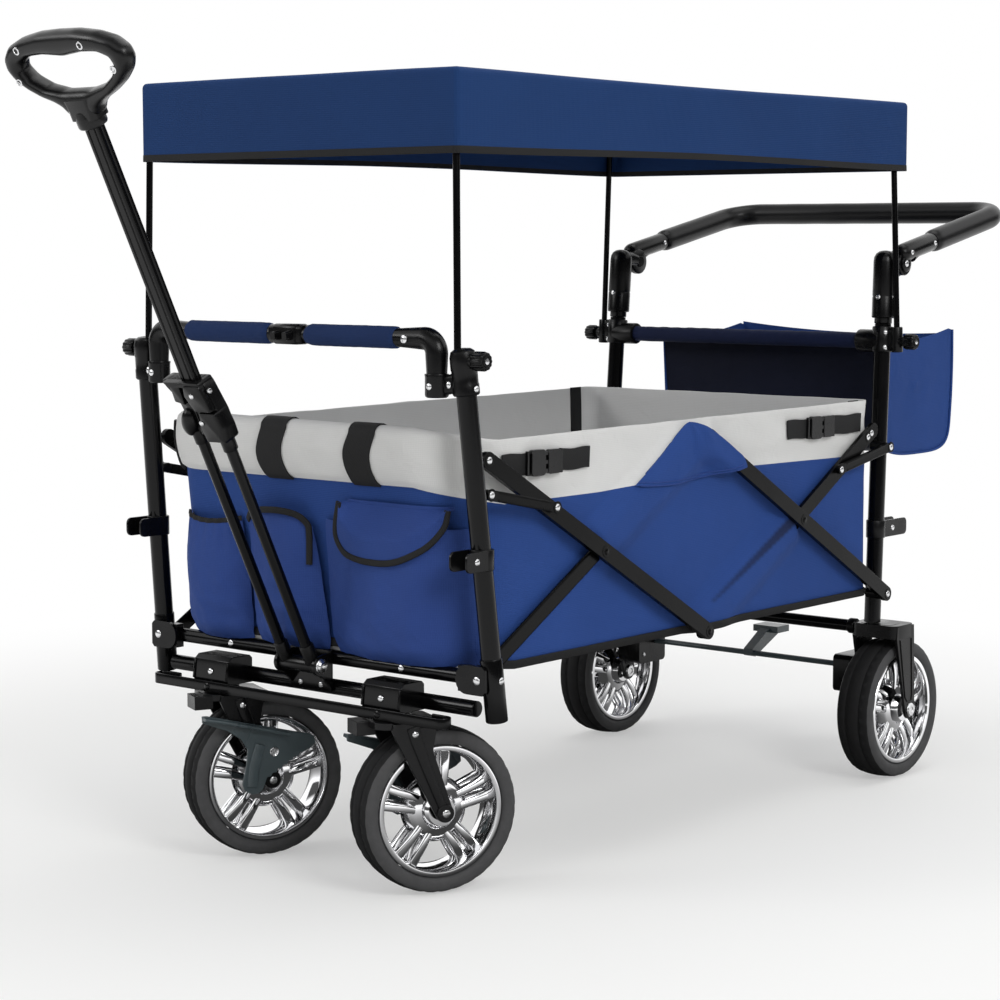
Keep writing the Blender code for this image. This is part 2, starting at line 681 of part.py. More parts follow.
def rear_axle_frame():
    """The rear cross tube with its two wheel forks, axles and brake boxes."""
    top = rear_foot_z - gap - tube_radius * math.hypot(rear_lean_in, rear_lean_back)
    low = 2 * wheel_radius + rear_crown_gap
    cross_z = (top + low) / 2 + 0.002
    crown_front, crown_back = rear_y - rear_crown_ahead, rear_y + rear_crown_behind
    inner = max(wheel_width, hub_width) / 2 + rear_arm_clearance
    outer = inner + rear_arm_thickness
    solids = [rod((-rear_wheel_x + inner, rear_y, cross_z), (rear_wheel_x - inner, rear_y, cross_z),
                  rear_cross_radius)]
    for side in (1, -1):
        x = side * rear_wheel_x
        solids.append(block((x - outer, crown_front, low), (x + outer, crown_back, top)))
        for way in (1, -1):
            arm = [(crown_front + 0.006, top - 0.002), (crown_front + 0.006, low)]
            arm += arc((rear_wheel_y, wheel_radius), fork_arm_radius, 190, 350, 10)
            arm += [(crown_back - 0.002, low), (crown_back - 0.002, top - 0.002)]
            solids.append(slab(arm, "X", x + way * inner, x + way * outer))
        solids.append(rod((x - outer + 0.001, rear_wheel_y, wheel_radius),
                          (x + outer - 0.001, rear_wheel_y, wheel_radius), axle_radius, 12))
        solids.append(rod((x + side * (outer - 0.001), rear_wheel_y, wheel_radius),
                          (x + side * (outer + bolt_height), rear_wheel_y, wheel_radius), bolt_radius, 12))
        box_out = side * (rear_wheel_x - outer + 0.001)
        box_y = rear_y + brake_bar_behind - 0.010
        solids.append(block((box_out, box_y - brake_box_length / 2, brake_box_z - brake_box_height / 2),
                            (box_out - side * brake_box_width, box_y + brake_box_length / 2,
                             brake_box_z + brake_box_height / 2)))
    piece("rear_axle_frame", solids, [], black_plastic)

    end = rear_wheel_x - outer + 0.001 - brake_box_width - gap
    y, z = rear_y + brake_bar_behind, brake_bar_z
    solids = [rod((-end, y, z), (end, y, z), brake_bar_radius, 12)]
    tip_y, tip_z = y + brake_pedal_reach, z + brake_pedal_rise
    arm = [(y - 0.004, z - 0.004), (y + 0.004, z - 0.006), (tip_y, tip_z - 0.006), (tip_y, tip_z + 0.002),
           (tip_y - 0.030, tip_z + 0.002), (y - 0.004, z + 0.006)]
    solids.append(slab(arm, "X", -0.008, 0.008))
    solids.append(block((-0.022, tip_y - 0.028, tip_z - 0.004), (0.022, tip_y + 0.004, tip_z + 0.006)))
    piece("rear_brake_bar", solids, [], grey_plastic, (0, y, z))


def grab_bar():
    """The padded bar over the front, with its centre clip."""
    foot = grab_foot_z
    path = rounded([(grab_x, grab_y, foot), (grab_x, grab_y, grab_z), (-grab_x, grab_y, grab_z),
                    (-grab_x, grab_y, foot)], grab_bend, 6)
    half = grab_clip_width / 2
    solids = [tube(path, grab_radius, 6)]
    solids.append(block((-half, grab_y - 0.0125, grab_z - 0.0115), (half, grab_y + 0.0125, grab_z + 0.0115)))
    solids.append(block((-half * 0.6, grab_y - 0.022, grab_z - 0.006), (half * 0.6, grab_y - 0.010, grab_z + 0.006)))
    piece("grab_bar", solids, [], black_tube)
    for side, tag in ((1, "R"), (-1, "L")):
        ends = ((side * grab_pad_in, grab_y, grab_z), (side * grab_pad_out, grab_y, grab_z))
        bore = rod((side * (grab_pad_in - 0.01), grab_y, grab_z), (side * (grab_pad_out + 0.01), grab_y, grab_z),
                   grab_radius + gap, 20)
        piece("grab_pad_" + tag, [rod(*ends, grab_pad_radius, 20)], [bore], blue_pad)


def knob(name, side, x, y, z):
    """A lobed hand knob on its stem."""
    outline = []
    lobes = 6
    for step in range(36):
        angle = 2 * math.pi * step / 36
        radius = knob_radius * (0.91 + 0.09 * math.cos(lobes * angle))
        outline.append((y + radius * math.cos(angle), z + radius * math.sin(angle)))
    head = slab(outline, "X", side * x, side * (x + knob_length))
    piece(name, [head], [], black_plastic, (side * x, y, z))


def clamps(side, tag):
    """The four corner clamps that hold the canopy rods and the bars across the ends."""
    base = placed(front_at, side, clamp_front_low_z)
    crown = placed(front_at, side, clamp_front_high_z)
    solids = [rod(base, crown, clamp_radius, 20)]
    knob_x, knob_y = front_at(knob_z)
    solids.append(rod((side * knob_x, knob_y, knob_z), (side * (knob_front_x - gap), knob_y, knob_z), 0.0070, 12))
    high = grab_foot_z + grab_socket_depth
    low = grab_foot_z - 0.003
    solids.append(rod((side * grab_x, grab_y, low), (side * grab_x, grab_y, high), grab_socket_radius, 20))
    solids.append(block((side * (grab_x + 0.008), grab_y - 0.004, low + 0.001 + 0.003),
                        (side * (front_at(high)[0] - 0.004), grab_y + 0.014, high - 0.001)))
    cuts = [rod((side * grab_x, grab_y, grab_foot_z - gap), (side * grab_x, grab_y, high + 0.01),
                grab_radius + gap, 20)]
    under = placed(front_at, side, clamp_front_low_z - 0.01)
    stop = placed(front_at, side, front_top_z + gap)
    cuts.append(rod(under, stop, tube_radius + gap, sides))
    x, y = hoop_at(hoop_front_foot, hoop_front_top, clamp_front_high_z)
    seat = hoop_seat(front_top_z)
    x0, y0 = hoop_at(hoop_front_foot, hoop_front_top, seat - gap)
    x1, y1 = hoop_at(hoop_front_foot, hoop_front_top, clamp_front_high_z + 0.01)
    cuts.append(rod((side * x0, y0, seat - gap), (side * x1, y1, clamp_front_high_z + 0.01),
                    hoop_radius + gap, 12))
    piece("clamp_front_" + tag, solids, cuts, black_plastic)
    knob("knob_front_" + tag, side, knob_front_x, knob_y, knob_z)

    base = placed(rear_at, side, clamp_rear_low_z)
    crown = placed(rear_at, side, clamp_rear_high_z)
    x0, y0 = hoop_at(hoop_rear_foot, hoop_rear_top, clamp_rear_low_z)
    x1, y1 = hoop_at(hoop_rear_foot, hoop_rear_top, clamp_rear_high_z)
    solids = [rod(base, crown, clamp_rear_radius, 20)]
    solids.append(rod((side * x0, y0, clamp_rear_low_z), (side * x1, y1, clamp_rear_high_z), socket_radius, 16))
    solids.append(block((side * (base.x * side + 0.006), y0 - 0.0055, clamp_rear_low_z + 0.001),
                        (side * x0, y0 + 0.0055, clamp_rear_high_z - 0.001)))
    knob_y = y0
    solids.append(rod((side * x0, knob_y, knob_rear_z), (side * (knob_rear_x - gap), knob_y, knob_rear_z),
                      0.0060, 12))
    bar_x, bar_y = rear_at(knob_rear_z)
    bar_end = bar_x - tube_radius - gap
    solids.append(rod((side * (bar_end - bag_collar_length), bar_y, knob_rear_z), (side * bar_x, bar_y, knob_rear_z),
                      bag_bar_radius + 0.0034, 16))
    cuts = [rod(placed(rear_at, side, clamp_rear_low_z - 0.01), placed(rear_at, side, clamp_rear_high_z + 0.01),
                tube_radius + gap, sides)]
    seat = clamp_rear_low_z + 0.008
    x2, y2 = hoop_at(hoop_rear_foot, hoop_rear_top, seat - gap)
    x3, y3 = hoop_at(hoop_rear_foot, hoop_rear_top, clamp_rear_high_z + 0.01)
    cuts.append(rod((side * x2, y2, seat - gap), (side * x3, y3, clamp_rear_high_z + 0.01), hoop_radius + gap, 12))
    cuts.append(rod((side * (bar_end - 0.03), bar_y, knob_rear_z), (side * bar_x, bar_y, knob_rear_z),
                    bag_bar_radius + gap, 16))
    piece("clamp_rear_" + tag, solids, cuts, black_plastic)
    knob("knob_rear_" + tag, side, knob_rear_x, knob_y, knob_rear_z)


hoop_top_z = canopy_top_z - canopy_wall - hoop_radius - gap
hoop_foot_z = 0.600


def hoop_seat(stop_z):
    """Height at which a front canopy rod stands on its clamp's floor."""
    return stop_z + 0.0035


def hoop_at(foot, top, z):
    """Centre of a canopy rod on the right, at height z."""
    share = (z - hoop_foot_z) / (hoop_top_z - hoop_foot_z)
    return foot[0] + (top[0] - foot[0]) * share, foot[1] + (top[1] - foot[1]) * share


def draped(low, high):
    """A box whose top sags between the hoops and whose sides ripple and rise at the hem."""
    made = block(low, high)
    work = bmesh.new()
    work.from_mesh(made.data)
    bmesh.ops.subdivide_edges(work, edges=work.edges[:], cuts=9, use_grid_fill=True)
    hem, crown = canopy_top_z - canopy_drop, canopy_top_z
    length = canopy_back_y - canopy_front_y
    for spot in work.verts:
        x, y, z = spot.co
        along = min(1.0, max(0.0, (y - canopy_front_y) / length))
        across = min(1.0, abs(x) / canopy_half_width)
        hang = min(1.0, max(0.0, (crown - z) / (crown - hem)))
        middle = math.sin(math.pi * along) ** 2
        centre = math.cos(math.pi / 2 * across) ** 2
        spot.co.z -= canopy_sag * middle * (0.35 + 0.65 * centre) * (1 - hang)
        spot.co.z += canopy_hem_rise * middle * hang * across ** 4
        if across > 0.9:
            wave = 0.5 - 0.5 * math.cos(2 * math.pi * canopy_folds * along)
            spot.co.x -= math.copysign(canopy_ripple * wave * hang * middle, x)
    work.to_mesh(made.data)
    work.free()
    return made


def canopy():
    """The canopy cover and its two hoops."""
    x, low, high = canopy_half_width, canopy_top_z - canopy_drop, canopy_top_z
    wall = canopy_wall
    cover = draped((-x, canopy_front_y, low), (x, canopy_back_y, high))
    inside = draped((-x + wall, canopy_front_y + wall, low - 0.01), (x - wall, canopy_back_y - wall, high - wall))
    piece("canopy_cloth", [cover], [inside], canopy_cloth)
    for name, foot, top, z in (("front", hoop_front_foot, hoop_front_top, hoop_seat(front_top_z)),
                               ("rear", hoop_rear_foot, hoop_rear_top, clamp_rear_low_z + 0.008)):
        x0, y0 = hoop_at(foot, top, z)
        path = rounded([(x0, y0, z), (top[0], top[1], hoop_top_z), (-top[0], top[1], hoop_top_z),
                        (-x0, y0, z)], hoop_bend, 4)
        piece("canopy_hoop_" + name, [tube(path, hoop_radius, 4)], [], black_tube)


def along_pull(across, distance, out=0.0):
    """A point of the pull handle, by distance from its hinge."""
    tilt = math.radians(pull_tilt)
    return Vector((across, pull_y - distance * math.sin(tilt) - out * math.cos(tilt),
                   pull_z + distance * math.cos(tilt) - out * math.sin(tilt)))


def stand(made):
    """Tip a solid built upright at the origin onto the pull handle's line."""
    tilt = Matrix.Rotation(math.radians(pull_tilt), 4, "X")
    made.data.transform(Matrix.Translation((0, pull_y, pull_z)) @ tilt)
    return made


def pull_handle():
    """The forked lower part, the sliding pole and the D-shaped grip."""
    reach = pull_rod_x + pull_rod_radius
    half, deep = pull_head_half_width, pull_head_depth / 2
    solids = [rod((-reach, 0, 0), (reach, 0, 0), pull_barrel_radius, 16)]
    for side in (1, -1):
        solids.append(rod((side * pull_rod_x, 0, 0), (side * pull_rod_x, 0, pull_head_low + 0.012),
                          pull_rod_radius, 14))
    outline = [(-half, pull_head_low), (half, pull_head_low), (half, pull_head_low + 0.034),
               (half * 0.72, pull_head_high), (-half - 0.016, pull_head_high),
               (-half - 0.016, pull_head_high - 0.006), (-half, pull_head_high - 0.026)]
    solids.append(slab(outline, "Y", -deep, deep))
    inside_x, inside_y = pull_pole_width / 2 + gap, pull_pole_depth / 2 + gap
    way_through = block((-inside_x, -inside_y, 0.0135), (inside_x, inside_y, pull_head_high + 0.02))
    piece("pull_yoke", [stand(s) for s in solids], [stand(way_through)], black_tube, (0, pull_y, pull_z))

    wide, thick, groove = pull_pole_width / 2, pull_pole_depth / 2, 0.0012
    section = []
    for face in (1, -1):
        row = [(-wide, thick), (-0.62 * wide, thick), (-0.5 * wide, thick - groove), (-0.38 * wide, thick),
               (0.38 * wide, thick), (0.5 * wide, thick - groove), (0.62 * wide, thick), (wide, thick)]
        section += [(face * x, face * y) for x, y in row]
    top = pull_collar + pull_collar_height - gap
    pole = slab(section, "Z", pull_pole_low, top)
    piece("pull_pole", [stand(pole)], [], black_tube, tuple(along_pull(0, pull_pole_low)))

    thick = pull_grip_thickness / 2
    neck = pull_collar + pull_collar_height
    crest, wide = pull_grip_top, pull_grip_width / 2
    corner = 0.030
    shape = [(-0.016, neck - 0.001), (0.016, neck - 0.001), (0.024, neck + 0.012)]
    shape += arc((wide - corner, crest - corner - 0.010), corner, -50, 60, 7)
    shape += [(0.030, crest), (-0.030, crest)]
    shape += arc((-wide + corner, crest - corner - 0.010), corner, 120, 230, 7)
    shape += [(-0.024, neck + 0.012)]
    inner_corner = 0.012
    hole_top = crest - 0.032
    hole = arc((0.052, hole_top - inner_corner), inner_corner, -60, 80, 5)
    hole += arc((-0.052, hole_top - inner_corner), inner_corner, 100, 240, 5)
    hole += [(-0.020, neck + 0.030), (0.020, neck + 0.030)]
    grip = slab(shape, "Y", -thick, thick)
    edge = grip.modifiers.new("soft edge", "BEVEL")
    edge.width = 0.008
    edge.segments = 2
    edge.limit_method = "ANGLE"
    edge.angle_limit = math.radians(50)
    collar = rod((0, 0, pull_collar), (0, 0, neck + 0.004), 0.0165, 20)
    window = slab(hole, "Y", -thick - 0.01, thick + 0.01)
    socket = block((-inside_x, -inside_y, pull_collar - 0.01), (inside_x, inside_y, neck))
    piece("pull_grip", [stand(grip), stand(collar)], [stand(window), stand(socket)], black_plastic,
          tuple(along_pull(0, pull_pole_low)))


def push_handle():
    """The hinged push bar with its foam sleeve, and the two joints that carry it."""
    disc_in = push_disc_x
    disc_out = disc_in + push_disc_width
    plate_x = disc_out + gap
    plate_out = plate_x + push_disc_width
    tube_x = (plate_x + plate_out) / 2
    for side, tag in ((1, "R"), (-1, "L")):
        low, high = placed(rear_at, side, push_sleeve_low), placed(rear_at, side, push_sleeve_high)
        tip = placed(rear_at, side, rear_top_z + rear_stub_length + gap)
        neck = placed(rear_at, side, rear_top_z + gap)
        solids = [rod(low, high, push_sleeve_radius, 20), rod(neck, low + (high - low) * 0.1, 0.0125, 16)]
        centre_y, centre_z = push_pivot_y, push_pivot_z
        solids.append(rod((side * disc_in, centre_y, centre_z), (side * disc_out, centre_y, centre_z),
                          push_disc_radius, 24))
        solids.append(block((side * disc_in, high.y, centre_z - 0.016),
                            (side * disc_out, centre_y - 0.004, centre_z + 0.000)))
        start = placed(rear_at, side, rear_top_z - 0.01)
        cut = rod(start, tip, rear_stub_radius + gap, sides)
        piece("push_joint_" + tag, solids, [cut], black_plastic)

    rise = Vector((push_knee_y - push_pivot_y, push_knee_z - push_pivot_z)).normalized()
    away = Vector((push_pivot_y, push_pivot_z)) + rise * (push_disc_radius + push_lug)
    path = [(tube_x, *away), (tube_x, push_knee_y, push_knee_z),
            (tube_x, push_end_y, push_end_z), (-tube_x, push_end_y, push_end_z),
            (-tube_x, push_knee_y, push_knee_z), (-tube_x, *away)]
    first = rounded(path[:3], 0.022, 3)[:-1]
    corner_in = rounded(path[1:5], push_bend, 6)[1:-1]
    last = rounded(path[3:], 0.022, 3)[1:]
    solids = [tube(first + corner_in + last, push_tube_radius, 4)]
    for side in (1, -1):
        solids.append(rod((side * plate_x, push_pivot_y, push_pivot_z),
                          (side * plate_out, push_pivot_y, push_pivot_z), push_disc_radius - 0.002, 24))
        lug = capsule((push_pivot_y, push_pivot_z), tuple(away + rise * 0.010), 0.0165)
        solids.append(slab(lug, "X", side * (plate_x + 0.0004), side * (plate_out - 0.0004)))
    piece("push_bar", solids, [], black_tube, (0, push_pivot_y, push_pivot_z))

    share = (foam_start_y - push_knee_y) / (push_end_y - push_knee_y)
    start_z = push_knee_z + (push_end_z - push_knee_z) * share
    start = Vector((tube_x, foam_start_y, start_z))
    other = Vector((-tube_x, foam_start_y, start_z))
    path = [start] + corner_in + [other]
    lead = (Vector(corner_in[0]) - start).normalized() * 0.01
    longer = [start - lead] + corner_in + [other + Vector((0, -lead.y, -lead.z))]
    piece("push_grip", [tube(path, foam_radius, 4)], [tube(longer, push_tube_radius + gap * 1.6, 4)], foam,
          (0, push_pivot_y, push_pivot_z))


def basket():
    """The cloth box with its pivot hoods, and the pockets on its front."""
    wall, x = cloth_wall, basket_half_width
    low, high, back = basket_floor_z, basket_top_z, basket_back_y
    step = upper_cross_z + upper_cross_radius + 0.0030
    front_low = front_at(step)[1] - basket_front_off
    front_high = front_at(high)[1] - basket_front_off
    heel = cross_y + max(upper_cross_radius, lower_cross_radius) + 0.0020
    outline = [(heel, low), (back, low), (back, high), (front_high, high), (front_low, step), (heel, step)]
    inside = [(heel + wall, low + wall), (back - wall, low + wall), (back - wall, high + 0.01),
              (front_high + wall, high + 0.01), (front_high + wall, high),
              (front_low + wall, step + wall), (heel + wall, step + wall)]
    solids = [slab(outline, "X", -x, x)]
    cuts = [slab(inside, "X", -x + wall, x - wall)]
    mid = scissor_mid_y
    shelf = scissor_top_z + bar_width / 2 + 0.0012
    out = bar_outer_x + bar_thickness + 0.0016
    for side in (1, -1):
        front_roof, back_roof = mid - hood_roof_front, mid + hood_roof_back
        roof = [(front_roof, shelf), (back_roof, shelf), (back_roof - 0.006, shelf + hood_top * 0.6),
                (front_roof + 0.006, shelf + hood_top * 0.6)]
        solids.append(slab(roof, "X", side * (x - 0.001), side * (out + hood_skin)))
        skin_low = scissor_top_z - hood_drop
        skin = [(mid - hood_front_length, skin_low + 0.015), (mid - hood_roof_front, skin_low + 0.006),
                (mid + hood_back_length, skin_low + 0.024), (mid + hood_back_length - 0.004, skin_low + 0.032),
                (back_roof - 0.0055, shelf + hood_top * 0.58), (front_roof + 0.0055, shelf + hood_top * 0.58),
                (mid - hood_front_length + 0.006, skin_low + 0.024)]
        solids.append(slab(skin, "X", side * out, side * (out + hood_skin)))
    piece("basket", solids, cuts, blue_cloth)

    def face(z):
        return front_at(z)[1] - basket_front_off - gap

    low, high = pocket_low_z, pocket_high_z
    back_plate = [(face(low), low), (face(high), high), (face(high) - 0.003, high), (face(low) - 0.003, low)]
    solids = [slab(back_plate, "X", pocket_spans[0][0], pocket_spans[-1][1])]
    for start, end in pocket_spans:
        swell = [(face(low + 0.002) - 0.001, low + 0.002), (face(high - 0.004) - 0.001, high - 0.004),
                 (face(high - 0.004) - pocket_depth * 0.97, high - 0.004),
                 (face((low + high) / 2) - pocket_depth, (low + high) / 2),
                 (face(low + 0.014) - pocket_depth * 0.9, low + 0.014),
                 (face(low + 0.002) - pocket_depth * 0.5, low + 0.003)]
        solids.append(slab(swell, "X", start + 0.002, end - 0.002))
    lip, floor = 0.0045, low + 0.034
    depth = pocket_depth - pocket_skin
    hollow = [(face(floor) - lip, floor), (face(high) - lip, high + 0.01), (face(high) - depth, high + 0.01),
              (face(high - 0.008) - depth, high - 0.008), (face(floor) - depth + 0.002, floor)]
    start, end = pocket_spans[0]
    inset = pocket_skin + 0.002
    piece("front_pockets", solids, [slab(hollow, "X", start + inset, end - inset)], blue_cloth)


def rear_bag():
    """The cross bar behind the basket and the open bag that hangs on it."""
    z = knob_rear_z
    bar_x, bar_y = rear_at(z)
    end = bar_x - tube_radius - 2 * gap
    piece("bag_bar", [rod((-end, bar_y, z), (end, bar_y, z), bag_bar_radius, 16)], [], black_tube)
    wall, x = cloth_wall, bag_half_width
    sleeve = bag_bar_radius + gap + bag_sleeve_wall
    top = z + sleeve * 0.8
    front, back, low, high = bag_front_y, bag_back_y, bag_low_z, bag_high_z
    outline = [(front + 0.012, low + 0.030), (front + 0.034, low), (back - 0.030, low), (back - 0.006, low + 0.02),
               (back, high), (back - wall, high), (front + 0.001, top - 0.004), (front, top - 0.004)]
    inside = [(front + 0.013 + wall, low + 0.031), (front + 0.036, low + wall), (back - 0.032, low + wall),
              (back - 0.006 - wall, low + 0.022), (back - wall * 1.6, high + 0.03), (front + wall, high + 0.03)]
    reach = bar_x - tube_radius - gap - bag_collar_length - gap
    solids = [slab(outline, "X", -x, x), rod((-reach, bar_y, z), (reach, bar_y, z), sleeve, 16)]
    solids.append(block((-reach, bar_y + bag_bar_radius + 0.0005, z + 0.001), (reach, front + 0.002, z + 0.0045)))
    cuts = [slab(inside, "X", -x + wall, x - wall),
            rod((-x - 0.01, bar_y, z), (x + 0.01, bar_y, z), bag_bar_radius + gap, 16)]
    piece("rear_bag", solids, cuts, navy_cloth)


for side_sign, side_tag in ((1, "R"), (-1, "L")):
    front_uprights(side_sign, side_tag)
    rear_uprights(side_sign, side_tag)
    scissor(side_sign, side_tag)
    caster(side_sign, side_tag)
    clamps(side_sign, side_tag)
    wheel("rear_" + side_tag, (side_sign * rear_wheel_x, rear_wheel_y, wheel_radius))
front_cross_members()
rear_axle_frame()
grab_bar()
canopy()
pull_handle()
push_handle()
basket()
rear_bag()

bpy.context.view_layer.update()
corners = [item.matrix_world @ spot.co for item in bpy.context.scene.objects for spot in item.data.vertices]
middle_y = (min(corner.y for corner in corners) + max(corner.y for corner in corners)) / 2
for item in bpy.context.scene.objects:
    item.location.y -= middle_y
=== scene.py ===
import math
import bmesh
import bpy
from mathutils import Matrix, Vector, noise


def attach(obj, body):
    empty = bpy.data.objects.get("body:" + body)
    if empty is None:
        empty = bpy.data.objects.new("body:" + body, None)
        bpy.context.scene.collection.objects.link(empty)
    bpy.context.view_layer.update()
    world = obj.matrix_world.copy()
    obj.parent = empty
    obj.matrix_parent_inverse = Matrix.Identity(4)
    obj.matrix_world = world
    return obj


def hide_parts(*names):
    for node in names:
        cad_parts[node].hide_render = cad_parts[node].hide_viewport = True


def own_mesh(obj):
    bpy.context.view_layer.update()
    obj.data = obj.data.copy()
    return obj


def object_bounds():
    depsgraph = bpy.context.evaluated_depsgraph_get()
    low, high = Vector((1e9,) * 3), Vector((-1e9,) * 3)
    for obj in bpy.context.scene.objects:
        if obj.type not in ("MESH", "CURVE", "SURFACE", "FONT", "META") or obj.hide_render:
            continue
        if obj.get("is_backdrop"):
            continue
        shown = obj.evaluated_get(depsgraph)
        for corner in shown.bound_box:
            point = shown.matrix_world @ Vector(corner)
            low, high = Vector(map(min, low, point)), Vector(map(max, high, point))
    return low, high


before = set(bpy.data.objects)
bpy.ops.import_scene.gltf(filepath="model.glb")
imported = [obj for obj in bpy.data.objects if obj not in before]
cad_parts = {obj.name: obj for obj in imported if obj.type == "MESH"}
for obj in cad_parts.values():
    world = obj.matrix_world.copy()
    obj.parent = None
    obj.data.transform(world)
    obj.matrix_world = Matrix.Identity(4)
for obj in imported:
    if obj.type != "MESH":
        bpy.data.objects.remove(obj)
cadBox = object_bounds()
print("frame loaded")

# The wagon: -Y is the pull handle's end, +X the side whose bars show. Lengths in metres
middleY = 0.423238  # the footprint's middle, measured from the front uprights' feet

sizes = dict(
    tube=0.0118,  # an upright's radius
    barThick=0.0072, barWidth=0.0205, innerBar=0.2544, outerBar=0.2619, braceX=0.2694,
    frontPivot=-0.004, pitch=0.441, low=0.270, high=0.521,
    rivet=0.0042,
    # the casters' swivels, how far they are turned, and how far their wheels trail behind them
    casterX=0.143, casterY=-0.0305, casterTurn=25.0, trail=0.051,
    rearWheelX=0.2508, rearWheelY=0.9136, wheelZ=0.1,
    # the heights of the braces' pins on the uprights, and how far they stand off the uprights' middle lines
    frontPin=0.482, rearPin=0.479, pinAhead=0.019, pinBehind=0.016,
)


def clamp(value):
    return min(1.0, max(0.0, value))


def smoothStep(value):
    return value * value * (3 - 2 * value)


def above(value, start):
    # 0 up to the start, then rising to 1 at 1
    return max(0.0, (value - start) / (1 - start))


def below(value, end):
    # 1 at 0, falling to 0 at the end
    return max(0.0, (end - value) / end)


def noiseAt(x, y, z):
    return noise.noise(Vector((x, y, z)))


def at(x, y, z):
    return Vector((x, y - middleY, z))


def frontPost(side, z):
    return at(side * (0.2768 - 0.034 * (z - 0.2195)), -0.1007 * (z - 0.2195), z)


def rearPost(side, z):
    return at(side * (0.2418 - 0.014 * (z - 0.2265)), 0.8825 + 0.062 * (z - 0.2265), z)


# mesh making
def bendPath(points, radius, steps=6):
    points = [Vector(p) for p in points]
    made = [points[0]]
    for before, corner, after in zip(points, points[1:], points[2:]):
        into, out = (before - corner).normalized(), (after - corner).normalized()
        half = into.angle(out) / 2
        if half > math.radians(89.4):
            made.append(corner)
            continue
        reach = min(radius / math.tan(half), 0.48 * (before - corner).length, 0.48 * (after - corner).length)
        turn = reach * math.tan(half)
        centre = corner + (into + out).normalized() * (turn / math.sin(half))
        first, last = (corner + into * reach - centre), (corner + out * reach - centre)
        for step in range(steps + 1):
            made.append(centre + first.normalized().slerp(last.normalized(), step / steps) * turn)
    made.append(points[-1])
    return made


def smoothPath(points, count):
    points = [Vector(p) for p in points]
    made = []
    for index in range(count):
        place = index / (count - 1) * (len(points) - 1)
        low = min(int(place), len(points) - 2)
        t = place - low
        a = points[max(low - 1, 0)]
        b, c = points[low], points[low + 1]
        d = points[min(low + 2, len(points) - 1)]
        made.append(0.5 * ((2 * b) + (c - a) * t + (2 * a - 5 * b + 4 * c - d) * t * t
                           + (3 * b - a - 3 * c + d) * t ** 3))
    return made


def evenPath(points, count):
    # the same line with its points at even distances
    points = [Vector(p) for p in points]
    lengths = [0.0]
    for a, b in zip(points, points[1:]):
        lengths.append(lengths[-1] + (b - a).length)
    made, low = [], 0
    for index in range(count):
        goal = lengths[-1] * index / (count - 1)
        while low < len(points) - 2 and lengths[low + 1] < goal:
            low += 1
        span = lengths[low + 1] - lengths[low]
        made.append(points[low].lerp(points[low + 1], clamp((goal - lengths[low]) / max(span, 1e-9))))
    return made


def evenLoop(outline, count):
    points = [Vector((a, b, 0)) for a, b in outline]
    return [(p.x, p.y) for p in evenPath(points + points[:1], count + 1)[:-1]]


def softLoop(outline, count, passes=2):
    loop = evenLoop(outline, count)
    for _ in range(passes):
        loop = [((loop[k - 1][0] + 2 * loop[k][0] + loop[(k + 1) % count][0]) / 4,
                 (loop[k - 1][1] + 2 * loop[k][1] + loop[(k + 1) % count][1]) / 4) for k in range(count)]
    return loop


def bendEach(points, radii, steps=8):
    # a line whose corners are rounded each by its own radius, the radii read from both ends inwards
    points = [Vector(p) for p in points]
    made = [points[0]]
    for number in range(1, len(points) - 1):
        radius = radii[min(number, len(points) - 1 - number) - 1]
        corner, after = points[number], points[number + 1]
        made += bendPath([made[-1], corner, corner.lerp(after, 0.5)], radius, steps)[1:-1]
    made.append(points[-1])
    return made


def circle(radius, count=24):
    return [(radius * math.cos(math.tau * k / count), radius * math.sin(math.tau * k / count))
            for k in range(count)]


def roundedBox(width, height, corner, steps=4):
    made = []
    for cx, cy, start in ((1, 1, 0), (-1, 1, 90), (-1, -1, 180), (1, -1, 270)):
        for step in range(steps + 1):
            angle = math.radians(start + 90 * step / steps)
            made.append((cx * (width / 2 - corner) + corner * math.cos(angle),
                         cy * (height / 2 - corner) + corner * math.sin(angle)))
    return made


def joinRings(bm, rings, mat=0, closed=False):
    # faces from each ring of vertices to the next
    for one, two in list(zip(rings, rings[1:])) + ([(rings[-1], rings[0])] if closed else []):
        size = len(one)
        for k in range(size):
            n = (k + 1) % size
            bm.faces.new((one[k], one[n], two[n], two[k])).material_index = mat


def capRings(bm, rings, mat=0):
    bm.faces.new(rings[0][::-1]).material_index = mat
    bm.faces.new(rings[-1]).material_index = mat


def addSweep(bm, path, section, mat=0, side=None, scales=None, closed=False):
    # a section drawn along a path; side is the way that the section's first axis points
    path = [Vector(p) for p in path]
    count = len(path)
    a = Vector(side) if side else None
    rings = []
    for k, spot in enumerate(path):
        ahead = path[(k + 1) % count] if closed or k < count - 1 else path[k]
        behind = path[k - 1] if closed or k > 0 else path[k]
        along = (ahead - behind).normalized()
        a = a or along.orthogonal()
        a = (a - along * a.dot(along)).normalized()
        b = along.cross(a)
        grow = scales[k] if scales else 1.0
        growA, growB = grow if isinstance(grow, tuple) else (grow, grow)
        rings.append([bm.verts.new(spot + a * u * growA + b * v * growB) for u, v in section])
    joinRings(bm, rings, mat, closed)
    if not closed:
        capRings(bm, rings, mat)
    return rings


